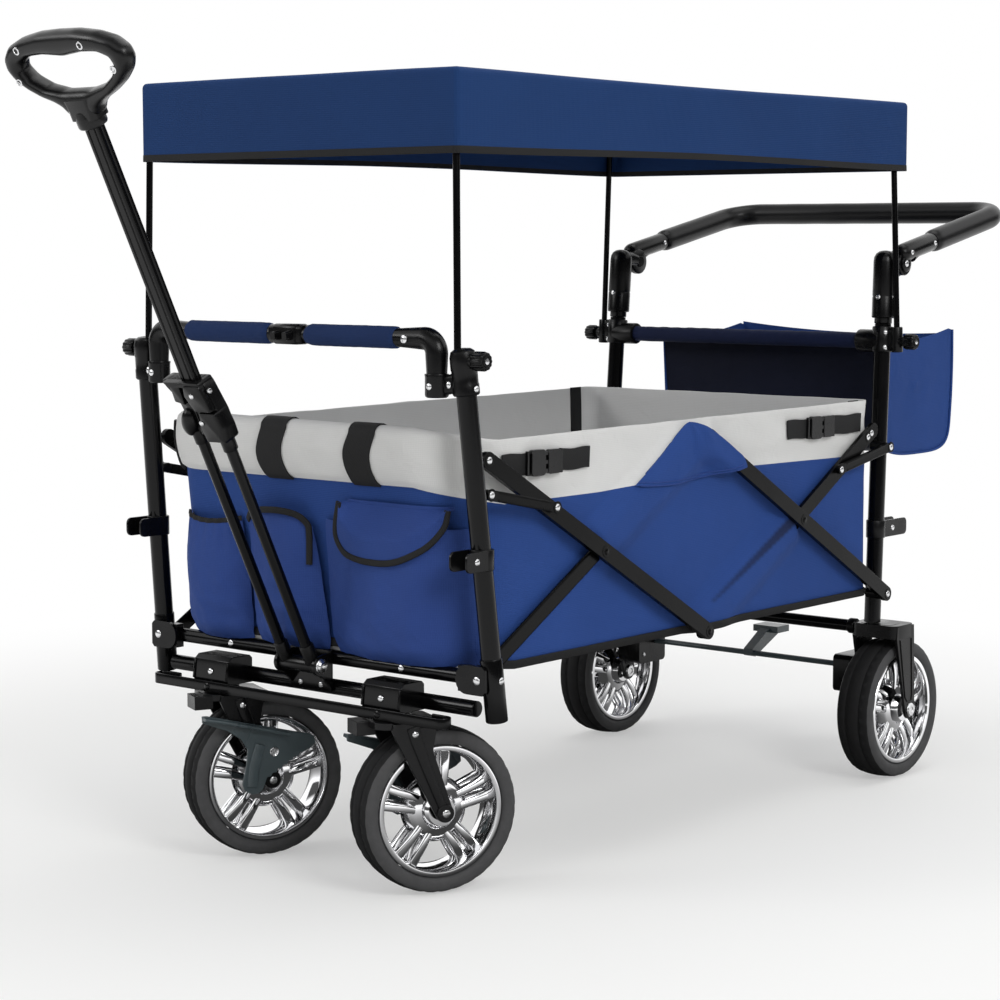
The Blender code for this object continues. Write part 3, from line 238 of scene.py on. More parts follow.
def addTube(bm, path, radius, mat=0, count=24, ease=0.0):
    # a round bar; ease rounds the edges of its ends
    path = [Vector(p) for p in path]
    if ease <= 0:
        return addSweep(bm, path, circle(radius, count), mat)
    first, last = (path[1] - path[0]).normalized() * ease, (path[-1] - path[-2]).normalized() * ease
    longer = [path[0], path[0] + first * 0.3, path[0] + first] + path[1:-1]
    longer += [path[-1] - last, path[-1] - last * 0.3, path[-1]]
    rounded = [1 - ease / radius, 1 - 0.3 * ease / radius, 1.0]
    scales = rounded + [1.0] * (len(path) - 2) + rounded[::-1]
    return addSweep(bm, longer, circle(radius, count), mat, scales=scales)


def addLathe(bm, profile, origin, direction, mat=0, steps=32):
    # a profile of (place along the axis, radius) turned round the axis
    direction = Vector(direction).normalized()
    a = direction.orthogonal().normalized()
    b = direction.cross(a)
    origin = Vector(origin)
    turns = [a * math.cos(math.tau * k / steps) + b * math.sin(math.tau * k / steps) for k in range(steps)]
    rings = [[bm.verts.new(origin + direction * along + turn * radius) for turn in turns] if radius > 1e-6
             else [bm.verts.new(origin + direction * along)] for along, radius in profile]
    for one, two in zip(rings, rings[1:]):
        for k in range(steps):
            n = (k + 1) % steps
            if len(one) == 1 and len(two) == 1:
                continue
            if len(one) == 1:
                corners = (one[0], two[n], two[k])
            elif len(two) == 1:
                corners = (one[k], one[n], two[0])
            else:
                corners = (one[k], one[n], two[n], two[k])
            bm.faces.new(corners).material_index = mat


def addPlate(bm, outline, origin, u, v, thick, mat=0):
    origin, u, v = Vector(origin), Vector(u).normalized(), Vector(v).normalized()
    out = u.cross(v).normalized() * thick
    rings = [[bm.verts.new(origin + shift + u * a + v * b) for a, b in outline] for shift in (out * 0, out)]
    capRings(bm, rings, mat)
    joinRings(bm, rings, mat)


def flipped(outline, side):
    return outline if side > 0 else [(-a, b) for a, b in outline]


def addSidePlate(bm, outline, x, side, thick, mat=0, y=0.0, z=0.0):
    # a plate drawn as (y, z) that grows outwards from x; y and z shift its outline's origin
    addPlate(bm, flipped(outline, side), at(side * x, y, z), (0, side, 0), (0, 0, 1), thick, mat)


def addBlock(bm, centre, size, mat=0, turn=None):
    made = bmesh.ops.create_cube(bm, size=1.0)
    shift = Matrix.Translation(Vector(centre))
    if turn is not None:
        shift = shift @ turn.to_4x4()
    bmesh.ops.transform(bm, verts=made["verts"], matrix=shift @ Matrix.Diagonal((*size, 1.0)))
    for face in {f for vert in made["verts"] for f in vert.link_faces}:
        face.material_index = mat


def addRivet(bm, centre, direction, mat=1, radius=None):
    r = radius or sizes["rivet"]
    addLathe(bm, [(-0.0008, r * 0.9), (0.0, r), (0.0006, r * 0.97), (0.0013, r * 0.72), (0.0017, r * 0.36),
                  (0.0018, 0.0)], centre, direction, mat, 16)


def arcPoints(centre, radius, start, end, count):
    return [(centre[0] + radius * math.cos(math.radians(start + (end - start) * k / count)),
             centre[1] + radius * math.sin(math.radians(start + (end - start) * k / count)))
            for k in range(count + 1)]


def capsule(start, end, width, count=10):
    aim = math.degrees(math.atan2(end[1] - start[1], end[0] - start[0]))
    return (arcPoints(end, width / 2, aim - 90, aim + 90, count)
            + arcPoints(start, width / 2, aim + 90, aim + 270, count))


def gridFaces(columns, rows):
    # the faces of a grid of spots, with one spot more than columns in each row
    wide = columns + 1
    return [(j * wide + i, j * wide + i + 1, (j + 1) * wide + i + 1, (j + 1) * wide + i)
            for j in range(rows) for i in range(columns)]


def fanFaces(count, rings):
    # the faces of rings of spots round a first spot
    faces = []
    for k in range(count):
        n = (k + 1) % count
        faces.append((0, 1 + k, 1 + n))
        for ring in range(1, rings):
            a, b = 1 + (ring - 1) * count, 1 + ring * count
            faces.append((a + k, b + k, b + n, a + n))
    return faces


def makePiece(name, bm, mats, body, nodes=(), slot=None, bevel=0.0, angle=35):
    # a mesh object that rides on its body; edges sharper than the angle stay sharp
    bmesh.ops.remove_doubles(bm, verts=bm.verts[:], dist=1e-6)
    bmesh.ops.recalc_face_normals(bm, faces=bm.faces[:])
    mesh = bpy.data.meshes.new(name)
    bm.to_mesh(mesh)
    bm.free()
    for mat in mats:
        mesh.materials.append(mat)
    mesh.shade_smooth()
    mesh.set_sharp_from_angle(angle=math.radians(angle))
    piece = bpy.data.objects.new(name, mesh)
    bpy.context.scene.collection.objects.link(piece)
    if bevel:
        edge = piece.modifiers.new("soft edge", "BEVEL")
        edge.width = bevel
        edge.segments = 2
        edge.limit_method = "ANGLE"
        edge.angle_limit = math.radians(40)
    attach(piece, body)
    if nodes:
        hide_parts(*nodes)
    return piece


def shellPiece(name, spots, faces, wall, mats, body, nodes, slot, marks=None):
    # a thin closed shell: the sheet, its underside, and the rim that joins them
    bm = bmesh.new()
    verts = [bm.verts.new(p) for p in spots]
    for corners, mark in zip(faces, marks or [0] * len(faces)):
        bm.faces.new([verts[k] for k in corners]).material_index = mark
    bmesh.ops.recalc_face_normals(bm, faces=bm.faces[:])
    if sum(f.normal.z * f.calc_area() for f in bm.faces) < 0:
        bmesh.ops.reverse_faces(bm, faces=bm.faces[:])
    bm.normal_update()
    under = {v: bm.verts.new(v.co - v.normal * wall) for v in bm.verts[:]}
    sheet = bm.faces[:]
    rim = [e for e in bm.edges if len(e.link_faces) == 1]
    for face in sheet:
        made = bm.faces.new([under[v] for v in reversed(face.verts)])
        made.material_index = face.material_index
    for e in rim:
        a, b = e.verts
        bm.faces.new((a, b, under[b], under[a]))
    return makePiece(name, bm, mats, body, nodes, slot, angle=50)


# materials
def toLinear(hexColour):
    made = []
    for k in (1, 3, 5):
        value = int(hexColour[k:k + 2], 16) / 255
        made.append(value / 12.92 if value <= 0.04045 else ((value + 0.055) / 1.055) ** 2.4)
    return (*made, 1.0)


def addNode(tree, kind, settings=None, links=None):
    node = tree.nodes.new(kind)
    for key, value in (settings or {}).items():
        if isinstance(key, int) or key in node.inputs:
            node.inputs[key].default_value = value
        else:
            setattr(node, key, value)
    for key, (source, output) in (links or {}).items():
        tree.links.new(source.outputs[output], node.inputs[key])
    return node


def startMaterial(name, shaderSettings):
    mat = bpy.data.materials.new(name)
    mat.use_nodes = True
    tree = mat.node_tree
    shader = tree.nodes["Principled BSDF"]
    for key, value in shaderSettings.items():
        shader.inputs[key].default_value = value
    place = addNode(tree, "ShaderNodeTexCoord")
    return mat, tree, shader, place


def tintBetween(tree, shader, factor, low, high):
    # the colour drifts between two close tones, as dye, paint film or dust does
    mix = addNode(tree, "ShaderNodeMix", {"data_type": "RGBA"})
    mix.inputs[6].default_value = toLinear(low)
    mix.inputs[7].default_value = toLinear(high)
    tree.links.new(factor, mix.inputs[0])
    tree.links.new(mix.outputs[2], shader.inputs["Base Color"])
    return mix


def addNoise(tree, place, size, detail, rough=0.5, twist=0.0):
    # a noise whose features are about size millimetres across
    return addNode(tree, "ShaderNodeTexNoise", {"Scale": 1000.0 / size, "Detail": detail, "Roughness": rough,
                                                "Distortion": twist}, {"Vector": (place, "Object")})


def addBump(tree, shader, height, strength, distance):
    bump = addNode(tree, "ShaderNodeBump", {"Strength": strength, "Distance": distance},
                   {"Height": (height, "Fac")})
    tree.links.new(bump.outputs[0], shader.inputs["Normal"])


def driftGloss(tree, shader, noiseNode, spread, low, high):
    # the roughness runs from low to high over the middle of the noise
    shade = addNode(tree, "ShaderNodeMapRange", {"From Min": 0.5 - spread, "From Max": 0.5 + spread,
                                                 "To Min": low, "To Max": high},
                    {"Value": (noiseNode, "Fac")})
    tree.links.new(shade.outputs[0], shader.inputs["Roughness"])


def waveScale(millimetres):
    # a band wave's own period is 2 pi / 20 units
    return 0.3142 * 1000.0 / millimetres


def powderCoatedSteel(name, settings):
    # epoxy powder baked on steel tube: near black, a soft gloss broken by fine orange peel
    mat, tree, shader, place = startMaterial(name, {"Roughness": settings["rough"], "IOR": 1.5,
                                                    "Specular IOR Level": settings["gloss"],
                                                    "Coat Weight": settings["coat"], "Coat Roughness": 0.08})
    peel = addNoise(tree, place, settings["peel"], 2.0)
    drift = addNoise(tree, place, 90, 3.0)
    tintBetween(tree, shader, drift.outputs["Fac"], settings["dark"], settings["light"])
    driftGloss(tree, shader, drift, 0.2, settings["rough"] - 0.04, settings["rough"] + 0.06)
    addBump(tree, shader, peel, 0.12, 0.0004)
    return mat


def mouldedPlastic(name, settings):
    # injection moulded in an eroded steel tool: even colour, a fine matt grain, softer gloss at handled spots
    mat, tree, shader, place = startMaterial(name, {"Roughness": settings["rough"], "IOR": 1.49,
                                                    "Specular IOR Level": settings.get("gloss", 0.5)})
    grain = addNoise(tree, place, settings["grain"], 4.0, 0.6)
    drift = addNoise(tree, place, 40, 2.0)
    tintBetween(tree, shader, drift.outputs["Fac"], settings["dark"], settings["light"])
    driftGloss(tree, shader, drift, 0.15, settings["rough"] - 0.05, settings["rough"] + 0.07)
    addBump(tree, shader, grain, settings["bump"], 0.0003)
    return mat


def wovenPolyester(name, settings):
    # plain-woven polyester with a coated back: a fine square weave, slack puckers, a faint cloth sheen.
    # The threads are about 0.5 mm, drawn at the width given so that they show in the picture
    mat, tree, shader, place = startMaterial(name, {"Roughness": settings["rough"], "IOR": 1.45,
                                                    "Specular IOR Level": 0.28,
                                                    "Sheen Weight": settings["sheen"],
                                                    "Sheen Roughness": 0.5})
    shader.inputs["Sheen Tint"].default_value = toLinear(settings["light"])
    facing = addNode(tree, "ShaderNodeNewGeometry")
    split = addNode(tree, "ShaderNodeSeparateXYZ", links={"Vector": (facing, "True Normal")})
    total = None
    for axis in "XYZ":
        thread = addNode(tree, "ShaderNodeTexWave", {"wave_type": "BANDS", "bands_direction": axis,
                                                     "Scale": waveScale(settings["thread"]),
                                                     "Distortion": 0.6, "Detail": 1.0, "Detail Scale": 2.0},
                         {"Vector": (place, "Object")})
        square = addNode(tree, "ShaderNodeMath", {"operation": "MULTIPLY"},
                         {0: (split, axis), 1: (split, axis)})
        rest = addNode(tree, "ShaderNodeMath", {"operation": "SUBTRACT", 0: 1.0}, {1: (square, 0)})
        share = addNode(tree, "ShaderNodeMath", {"operation": "MULTIPLY"}, {0: (rest, 0), 1: (thread, "Fac")})
        total = share if total is None else addNode(tree, "ShaderNodeMath", {"operation": "ADD"},
                                                    {0: (total, 0), 1: (share, 0)})
    pucker = addNoise(tree, place, settings["pucker"], 3.0, 0.55, 0.6)
    blotch = addNoise(tree, place, 160, 4.0, 0.6)
    tone = addNode(tree, "ShaderNodeMath", {"operation": "MULTIPLY_ADD", 1: 0.22, 2: 0.0}, {0: (total, 0)})
    tone = addNode(tree, "ShaderNodeMath", {"operation": "MULTIPLY_ADD", 1: 0.7, "use_clamp": True},
                   {0: (blotch, "Fac"), 2: (tone, 0)})
    tint = tintBetween(tree, shader, tone.outputs[0], settings["dark"], settings["light"])
    if settings.get("shadowed"):
        # painted shadow: the cloth is painted darker where a dark bar lies close behind it
        behind = addNode(tree, "ShaderNodeAttribute", {"attribute_name": "paintedBarShadow"})
        darker = addNode(tree, "ShaderNodeMix", {"data_type": "RGBA"}, {0: (behind, "Fac")})
        darker.inputs[7].default_value = toLinear(settings["shadowed"])
        tree.links.new(tint.outputs[2], darker.inputs[6])
        tree.links.new(darker.outputs[2], shader.inputs["Base Color"])
    coarse = addNode(tree, "ShaderNodeBump", {"Strength": settings["slack"], "Distance": 0.004},
                     {"Height": (pucker, "Fac")})
    fine = addNode(tree, "ShaderNodeBump", {"Strength": settings["weave"], "Distance": 0.0005},
                   {"Height": (total, 0), "Normal": (coarse, 0)})
    tree.links.new(fine.outputs[0], shader.inputs["Normal"])
    return mat


def wovenWebbing(name, settings):
    # narrow-loom polypropylene tape: dull black with fine ribs across it
    mat, tree, shader, place = startMaterial(name, {"Roughness": 0.78, "IOR": 1.49,
                                                    "Specular IOR Level": 0.3})
    ribs = addNode(tree, "ShaderNodeTexWave", {"wave_type": "BANDS", "bands_direction": "DIAGONAL",
                                               "Scale": waveScale(settings["rib"]), "Distortion": 1.0,
                                               "Detail": 1.0}, {"Vector": (place, "Object")})
    tintBetween(tree, shader, ribs.outputs["Fac"], settings["dark"], settings["light"])
    addBump(tree, shader, ribs, 0.35, 0.0004)
    return mat


def mouldedRubber(name, settings):
    # tyre compound from a closed mould: charcoal, matt, dusty in the low spots
    mat, tree, shader, place = startMaterial(name, {"Roughness": settings["rough"], "IOR": 1.52,
                                                    "Specular IOR Level": 0.18})
    dust = addNoise(tree, place, 12, 6.0, 0.65)
    fine = addNoise(tree, place, 1.2, 3.0)
    tintBetween(tree, shader, dust.outputs["Fac"], settings["dark"], settings["light"])
    addBump(tree, shader, fine, 0.2, 0.0003)
    return mat


def brightMetal(name, settings):
    # electroplate or bare rivet steel: mirror bright, with a faint haze that drifts over it
    mat, tree, shader, place = startMaterial(name, {"Metallic": 1.0, "Roughness": settings["rough"]})
    haze = addNoise(tree, place, settings["haze"], 4.0)
    tintBetween(tree, shader, haze.outputs["Fac"], settings["dark"], settings["light"])
    driftGloss(tree, shader, haze, 0.2, settings["rough"] * 0.7, settings["rough"] * 1.5)
    return mat


blackSteel = powderCoatedSteel("powder coated steel", dict(dark="#040405", light="#09090a", rough=0.18,
                                                           coat=0.05, gloss=0.15, peel=1.8))
stripSteel = powderCoatedSteel("powder coated steel strip",
                               dict(dark="#030303", light="#070708", rough=0.24, coat=0.0, gloss=0.09,
                                    peel=1.8))
blackNylon = mouldedPlastic("moulded nylon black", dict(dark="#050506", light="#0b0b0c", rough=0.27,
                                                        gloss=0.19, grain=0.8, bump=0.12))
# painted light: the right fork, on the side the key light falls on, is painted a lighter charcoal than the
# left fork's black
forkNylonLitSide = mouldedPlastic("moulded nylon painted light", dict(dark="#0e0e0f", light="#171718", rough=0.33,
                                                          gloss=0.24, grain=0.8, bump=0.16))
gripNylon = mouldedPlastic("moulded polypropylene grip",
                           dict(dark="#080809", light="#101011", rough=0.30, gloss=0.26, grain=1.0,
                                bump=0.16))
pedalNylon = mouldedPlastic("moulded nylon slate", dict(dark="#353f42", light="#465155", rough=0.32,
                                                        grain=0.9, bump=0.15))
buckleAcetal = mouldedPlastic("moulded acetal", dict(dark="#0c0c0d", light="#151516", rough=0.24, gloss=0.26,
                                                     grain=0.7, bump=0.12))
blueCloth = wovenPolyester("woven polyester blue", dict(dark="#1e3973", light="#28498d", rough=0.80,
                                                        sheen=0.05, thread=2.2, pucker=26, slack=0.16,
                                                        weave=0.22, shadowed="#101b3a"))
pocketCloth = wovenPolyester("woven polyester pocket blue",
                             dict(dark="#203572", light="#2e4a8c", rough=0.74, sheen=0.06, thread=2.0,
                                  pucker=16, slack=0.3, weave=0.18))
canopyPolyester = wovenPolyester("woven polyester canopy",
                                 dict(dark="#0c2c59", light="#143769", rough=0.8, sheen=0.04, thread=2.4,
                                      pucker=60, slack=0.12, weave=0.2))
greyCloth = wovenPolyester("woven polyester pale grey", dict(dark="#cacac9", light="#dbdbda", rough=0.82,
                                                             sheen=0.03, thread=2.2, pucker=34, slack=0.45,
                                                             weave=0.10))
# the lining of the inner walls and floor: the collar's pale grey, painted a little darker as shade
innerClothShaded = wovenPolyester("coated polyester lining painted shade", dict(dark="#c0c0bf", light="#d2d2d1", rough=0.7,
                                                            sheen=0.02, thread=2.4, pucker=40, slack=0.3,
                                                            weave=0.1))
bagCloth = wovenPolyester("woven polyester bag", dict(dark="#1e3970", light="#28488a", rough=0.78, sheen=0.05,
                                                      thread=2.2, pucker=30, slack=0.25, weave=0.2))
padCloth = wovenPolyester("woven polyester bar cover", dict(dark="#0f2247", light="#182f5b", rough=0.82,
                                                            sheen=0.06, thread=1.9, pucker=14, slack=0.22,
                                                            weave=0.25))
blackTape = wovenWebbing("woven polypropylene tape", dict(dark="#0d0d0e", light="#1b1b1c", rib=2.0))
tyreRubber = mouldedRubber("moulded tyre rubber", dict(dark="#3d3d3e", light="#525253", rough=0.62))
treadRubber = mouldedRubber("moulded tread rubber", dict(dark="#161617", light="#232324", rough=0.8))
foamRubber = mouldedRubber("extruded nitrile foam", dict(dark="#0a0a0b", light="#121213", rough=0.36))
chromedPlastic = brightMetal("chromed ABS", dict(dark="#d2d2d4", light="#f1f1f2", rough=0.07, haze=30))
rivetSteel = brightMetal("zinc plated steel", dict(dark="#b9babb", light="#e2e2e3", rough=0.22, haze=4))
print("materials made")


def xAxis(side):
    return Vector((side, 0, 0))


# wheels
wheelLook = dict(rimRadius=0.0795, lipWidth=0.0065, faceDepth=0.0105, hub=0.0185, dish=0.034, spokes=5,
                 spokeGap=0.0052, spokeWide=0.0098, treadGrooves=36, grooveDepth=0.0007)


def makeWheel(tag, centre, spin, body, nodes):
    # spin is the outward side along the axle, in the row frame
    look = wheelLook
    up = Vector((0, 0, 1))
    across = up.cross(spin).normalized()

    def spot(along, out, angle):
        return centre + spin * along + (across * math.cos(angle) + up * math.sin(angle)) * out

    bm = bmesh.new()
    profile = [(-0.0232, 0.0802), (-0.0250, 0.0812), (-0.0268, 0.0840), (-0.0276, 0.0885), (-0.0268, 0.0935),
               (-0.0240, 0.0968), (-0.0195, 0.0984), (-0.0130, 0.0993), (-0.0115, 0.0978), (-0.0098, 0.0978),
               (-0.0083, 0.0997), (0.0, 0.1000)]
    profile += [(-a, r) for a, r in profile[-2::-1]]
    steps = look["treadGrooves"] * 6
    rings = []
    for step in range(steps):
        angle = math.tau * step / steps
        phase = math.tau * step / 6
        ring = []
        for along, out in profile:
            shoulder = clamp((out - 0.0955) / 0.002)
            # shallow wavy blocks round the shoulder
            wave = 0.5 + 0.5 * math.cos(phase + (1.2 if along > 0 else 0.0))
            outer = 1.0 if abs(along) > 0.0125 else 0.25
            ring.append(spot(along, out - look["grooveDepth"] * shoulder * wave ** 3 * outer, angle))
        rings.append([bm.verts.new(p) for p in ring])
    count = len(profile)
    for k in range(steps):
        one, two = rings[k], rings[(k + 1) % steps]
        for n in range(count):
            m = (n + 1) % count
            bm.faces.new((one[n], one[m], two[m], two[n])).material_index = 1 if 5 <= n < count - 6 else 0
    makePiece("wheelTyre" + tag, bm, [tyreRubber, treadRubber], body, [nodes[0]], "tyre", angle=50)

    bm = bmesh.new()
    r, depth = look["rimRadius"], look["faceDepth"]
    inside = r - look["lipWidth"]
    barrel = [(-0.0228, r), (-0.0242, r - 0.0012), (-0.0245, r - 0.003), (-0.0238, inside),
              (-0.0215, inside - 0.0012), (-0.0100, inside - 0.0030), (0.0, inside - 0.0040)]
    addLathe(bm, barrel + [(-a, q) for a, q in barrel[-2::-1]], centre, spin, 0, 96)
    for way in (1, -1):
        face = spin * way
        # the hub boss, with a shallow dish to the spokes
        addLathe(bm, [(0.006, look["dish"] + 0.006), (depth + 0.0035, look["dish"]),
                      (depth + 0.0055, look["dish"] - 0.004), (depth + 0.0075, look["hub"] + 0.004),
                      (0.0255, look["hub"]), (0.0265, look["hub"] - 0.0015), (0.0265, 0.0075),
                      (0.0245, 0.007)], centre, face, 0, 64)
        for index in range(look["spokes"]):
            angle = math.tau * index / look["spokes"] + math.radians(18)
            outDir = across * math.cos(angle) + up * math.sin(angle)
            sideDir = face.cross(outDir)
            for edge in (1, -1):  # each spoke is a pair of ribs that spread and widen outwards
                wide, spread = look["spokeWide"], look["spokeWide"] * 0.25
                path, scale = [], []
                for step in range(7):
                    t = step / 6
                    start = look["dish"] - 0.008
                    reach = start + (inside - 0.001 - start) * t
                    rise = depth + 0.0050 * (1 - t) + 0.0035 * t + 0.0022 * math.sin(math.pi * t) - 0.004
                    drift = edge * (look["spokeGap"] / 2 + wide / 2 + spread / 2 * t + 0.0026 * t * t)
                    path.append(centre + outDir * reach + sideDir * drift + face * rise)
                    scale.append((1 + 0.28 * t, 1.0))
                addSweep(bm, path, roundedBox(wide, 0.0085, 0.0026, 3), 0, side=sideDir, scales=scale)
    makePiece("wheelRim" + tag, bm, [chromedPlastic], body, [nodes[1]], "rim", angle=32)


def casterTurn(side, x, y, z):
    # a point given as if the caster pointed straight back, turned the way that it stands
    turn = math.radians(sizes["casterTurn"])
    cx, cy = side * sizes["casterX"], sizes["casterY"]
    return at(cx + x * math.cos(turn) + y * math.sin(turn), cy - x * math.sin(turn) + y * math.cos(turn), z)


turnRad = math.radians(sizes["casterTurn"])
casterAxle = Vector((math.cos(turnRad), -math.sin(turnRad), 0))
casterBack = Vector((math.sin(turnRad), math.cos(turnRad), 0))
for side, tag in ((1, "R"), (-1, "L")):
    makeWheel("Front" + tag, casterTurn(side, 0, sizes["trail"], sizes["wheelZ"]), casterAxle,
              "front_wheel_" + tag, ("tyre_front_" + tag, "rim_front_" + tag))
    makeWheel("Rear" + tag, at(side * sizes["rearWheelX"], sizes["rearWheelY"], sizes["wheelZ"]), xAxis(side),
              "rear_wheel_" + tag, ("tyre_rear_" + tag, "rim_rear_" + tag))
print("wheels made")

# casters
forkLook = dict(armInner=0.0312, armOuter=0.0362, crownLow=0.2035, crownHigh=0.2118)
pedalLook = dict(near=0.0393, thick=0.0045, teeth=7, toothStep=(0.0072, 0.0046))
back, axle, up = casterBack, casterAxle, Vector((0, 0, 1))


def makeFork(look, side, tag):
    bm = bmesh.new()
    pivot = casterTurn(side, 0, 0, 0)
    # crown: a rounded wedge over the tyre, with a stepped round head under the block
    outline = [(-0.034, -0.006), (-0.030, -0.022), (-0.020, -0.031), (0.020, -0.031), (0.030, -0.022),
               (0.034, -0.006), (0.0362, 0.012), (0.0362, 0.040), (0.028, 0.050), (-0.028, 0.050),
               (-0.0362, 0.040), (-0.0362, 0.012)]
    addPlate(bm, outline, pivot + up * look["crownLow"], axle, back, look["crownHigh"] - look["crownLow"])
    addLathe(bm, [(0.2105, 0.0235), (0.2135, 0.0235), (0.2145, 0.0225), (0.2160, 0.0225), (0.2165, 0.0205),
                  (0.2218, 0.0205), (0.2218, 0.0)], pivot, up, 0, 40)
    for way in (1, -1):
        inner, outer = look["armInner"], look["armOuter"]
        start = pivot + axle * way * inner
        # a tapering arm from the crown to the axle, with a raised spine
        outline = [(-0.014, 0.2110), (-0.016, 0.2035), (-0.010, 0.190)]
        outline += arcPoints((sizes["trail"], sizes["wheelZ"]), 0.0112, 212, 395, 14)
        outline += [(0.036, 0.176), (0.040, 0.198), (0.040, 0.2110)]
        addPlate(bm, flipped(outline, way), start, back * way, up, outer - inner)
        spine = [casterTurn(side, way * (outer + 0.0004), y, z) for y, z in
                 ((0.010, 0.206), (0.0145, 0.190), (0.030, 0.150), (0.047, 0.108))]
        addSweep(bm, spine, roundedBox(0.0035, 0.0125, 0.0016, 2), 0, side=axle * way,
                 scales=[(1, 1.25), (1, 1.2), (1, 1.0), (1, 0.8)])
        hub = casterTurn(side, way * outer, sizes["trail"], sizes["wheelZ"])
        addLathe(bm, [(-0.001, 0.0112), (0.0022, 0.0108), (0.0030, 0.0098), (0.0030, 0.0)], hub, axle * way,
                 0, 28)
        addLathe(bm, [(0.0028, 0.0052), (0.0044, 0.0050), (0.0050, 0.0040), (0.0050, 0.0)], hub, axle * way,
                 1, 20)
        addRivet(bm, casterTurn(side, way * (outer + 0.0018), 0.0125, 0.1975), axle * way, 1, 0.0042)
    addTube(bm, [casterTurn(side, x, sizes["trail"], sizes["wheelZ"]) for x in (-0.034, 0.034)], 0.0060, 1,
            16)
    # the housing that stands ahead of the tyre on the pedal's side
    addBlock(bm, casterTurn(side, -side * 0.0135, -0.0345, 0.2025), (0.030, 0.024, 0.017), 0,
             Matrix.Rotation(-turnRad, 3, "Z"))
    # painted light: the right fork takes the lighter nylon
    makePiece("casterFork" + tag, bm, [forkNylonLitSide if side > 0 else blackNylon, rivetSteel],
              "caster_fork_" + tag, ["caster_fork_" + tag], "moulding", bevel=0.0009)


def makePedal(look, side, tag):
    # a wedge-shaped foot lever with a toothed lower leg, its near face clear of the fork's arm
    bm = bmesh.new()
    inward = -side
    near, thick = look["near"] * inward, look["thick"]
    outline = [(-0.0415, 0.1800), (-0.0420, 0.1885), (-0.0360, 0.1885), (0.0795, 0.1600), (0.0980, 0.1560),
               (0.1050, 0.1520), (0.1060, 0.1430), (0.0990, 0.1375)]
    for step in range(look["teeth"]):  # the teeth that lock the wheel
        y, z = 0.0900 - step * look["toothStep"][0], 0.1335 - step * look["toothStep"][1]
        outline += [(y, z), (y - 0.0052, z - 0.0005)]
    outline += [(0.0360, 0.0905), (0.0300, 0.0860), (0.0220, 0.0850), (0.0120, 0.0910), (0.0095, 0.0990),
                (0.0150, 0.1230), (0.0168, 0.1420), (0.0080, 0.1560), (-0.0100, 0.1680)]
    origin = casterTurn(side, near, 0, 0)
    addPlate(bm, flipped(outline, inward), origin, back * inward, up, thick)
    # the flange that the foot presses, and the rib down the leg
    toe = ((-0.0415, 0.1856), (-0.0200, 0.1815), (0.0300, 0.1690), (0.0700, 0.1590))
    addSweep(bm, [casterTurn(side, near + inward * 0.0075, y, z) for y, z in toe],
             roundedBox(0.015, 0.0045, 0.0015, 2), 0, side=axle)
    rib = ((0.0330, 0.1480), (0.0240, 0.1200), (0.0215, 0.0950))
    addSweep(bm, [casterTurn(side, near + inward * 0.0052, y, z) for y, z in rib],
             roundedBox(0.004, 0.014, 0.0015, 2), 0, side=axle)
    ring = casterTurn(side, near + inward * thick, 0.0510, 0.1370)
    addLathe(bm, [(0.0, 0.0062), (0.0016, 0.0060), (0.0018, 0.0046), (0.0004, 0.0040), (0.0004, 0.0)], ring,
             axle * inward, 1, 24)
    addTube(bm, [casterTurn(side, inward * 0.0375, 0.016, 0.155), casterTurn(side, near, 0.016, 0.155)],
            0.006, 0, 16)
    makePiece("brakePedal" + tag, bm, [pedalNylon, rivetSteel], "brake_pedal_" + tag, ["brake_pedal_" + tag],
              "pedal", bevel=0.0008)


for side, tag in ((1, "R"), (-1, "L")):
    makeFork(forkLook, side, tag)
    makePedal(pedalLook, side, tag)
print("casters made")

# uprights
postLook = dict(footLow=0.2195, footHigh=0.2945, frontHigh=0.628, clipZ=0.409, clipReach=0.042,
                clipHalf=0.0115, rearLow=0.2265, rearHigh=0.652, rearClipZ=0.360, rearClipReach=0.066,
                pin=0.0063)


def addClip(bm, post, way, reach, halfWide, halfHigh, ring):
    # a moulded ring round the post with two round-ended prongs that hold the folded handle
    up = Vector((0, 0, 1))
    addTube(bm, [post - up * (halfHigh + 0.0008), post + up * (halfHigh + 0.0008)], ring, 1, 32, ease=0.0012)
    shape = [(0.004, -halfHigh), (reach - 0.007, -halfHigh)]
    shape += arcPoints((reach - 0.007, -halfHigh + 0.007), 0.007, -90, 0, 4)[1:]
    shape += arcPoints((reach - 0.007, halfHigh - 0.007), 0.007, 0, 90, 4)
    shape += [(0.004, halfHigh)]
    for side in (1, -1):
        start = post + Vector((side * halfWide, 0, 0))
        addPlate(bm, flipped(shape, side * way), start, (0, side, 0), up, -0.003, 1)


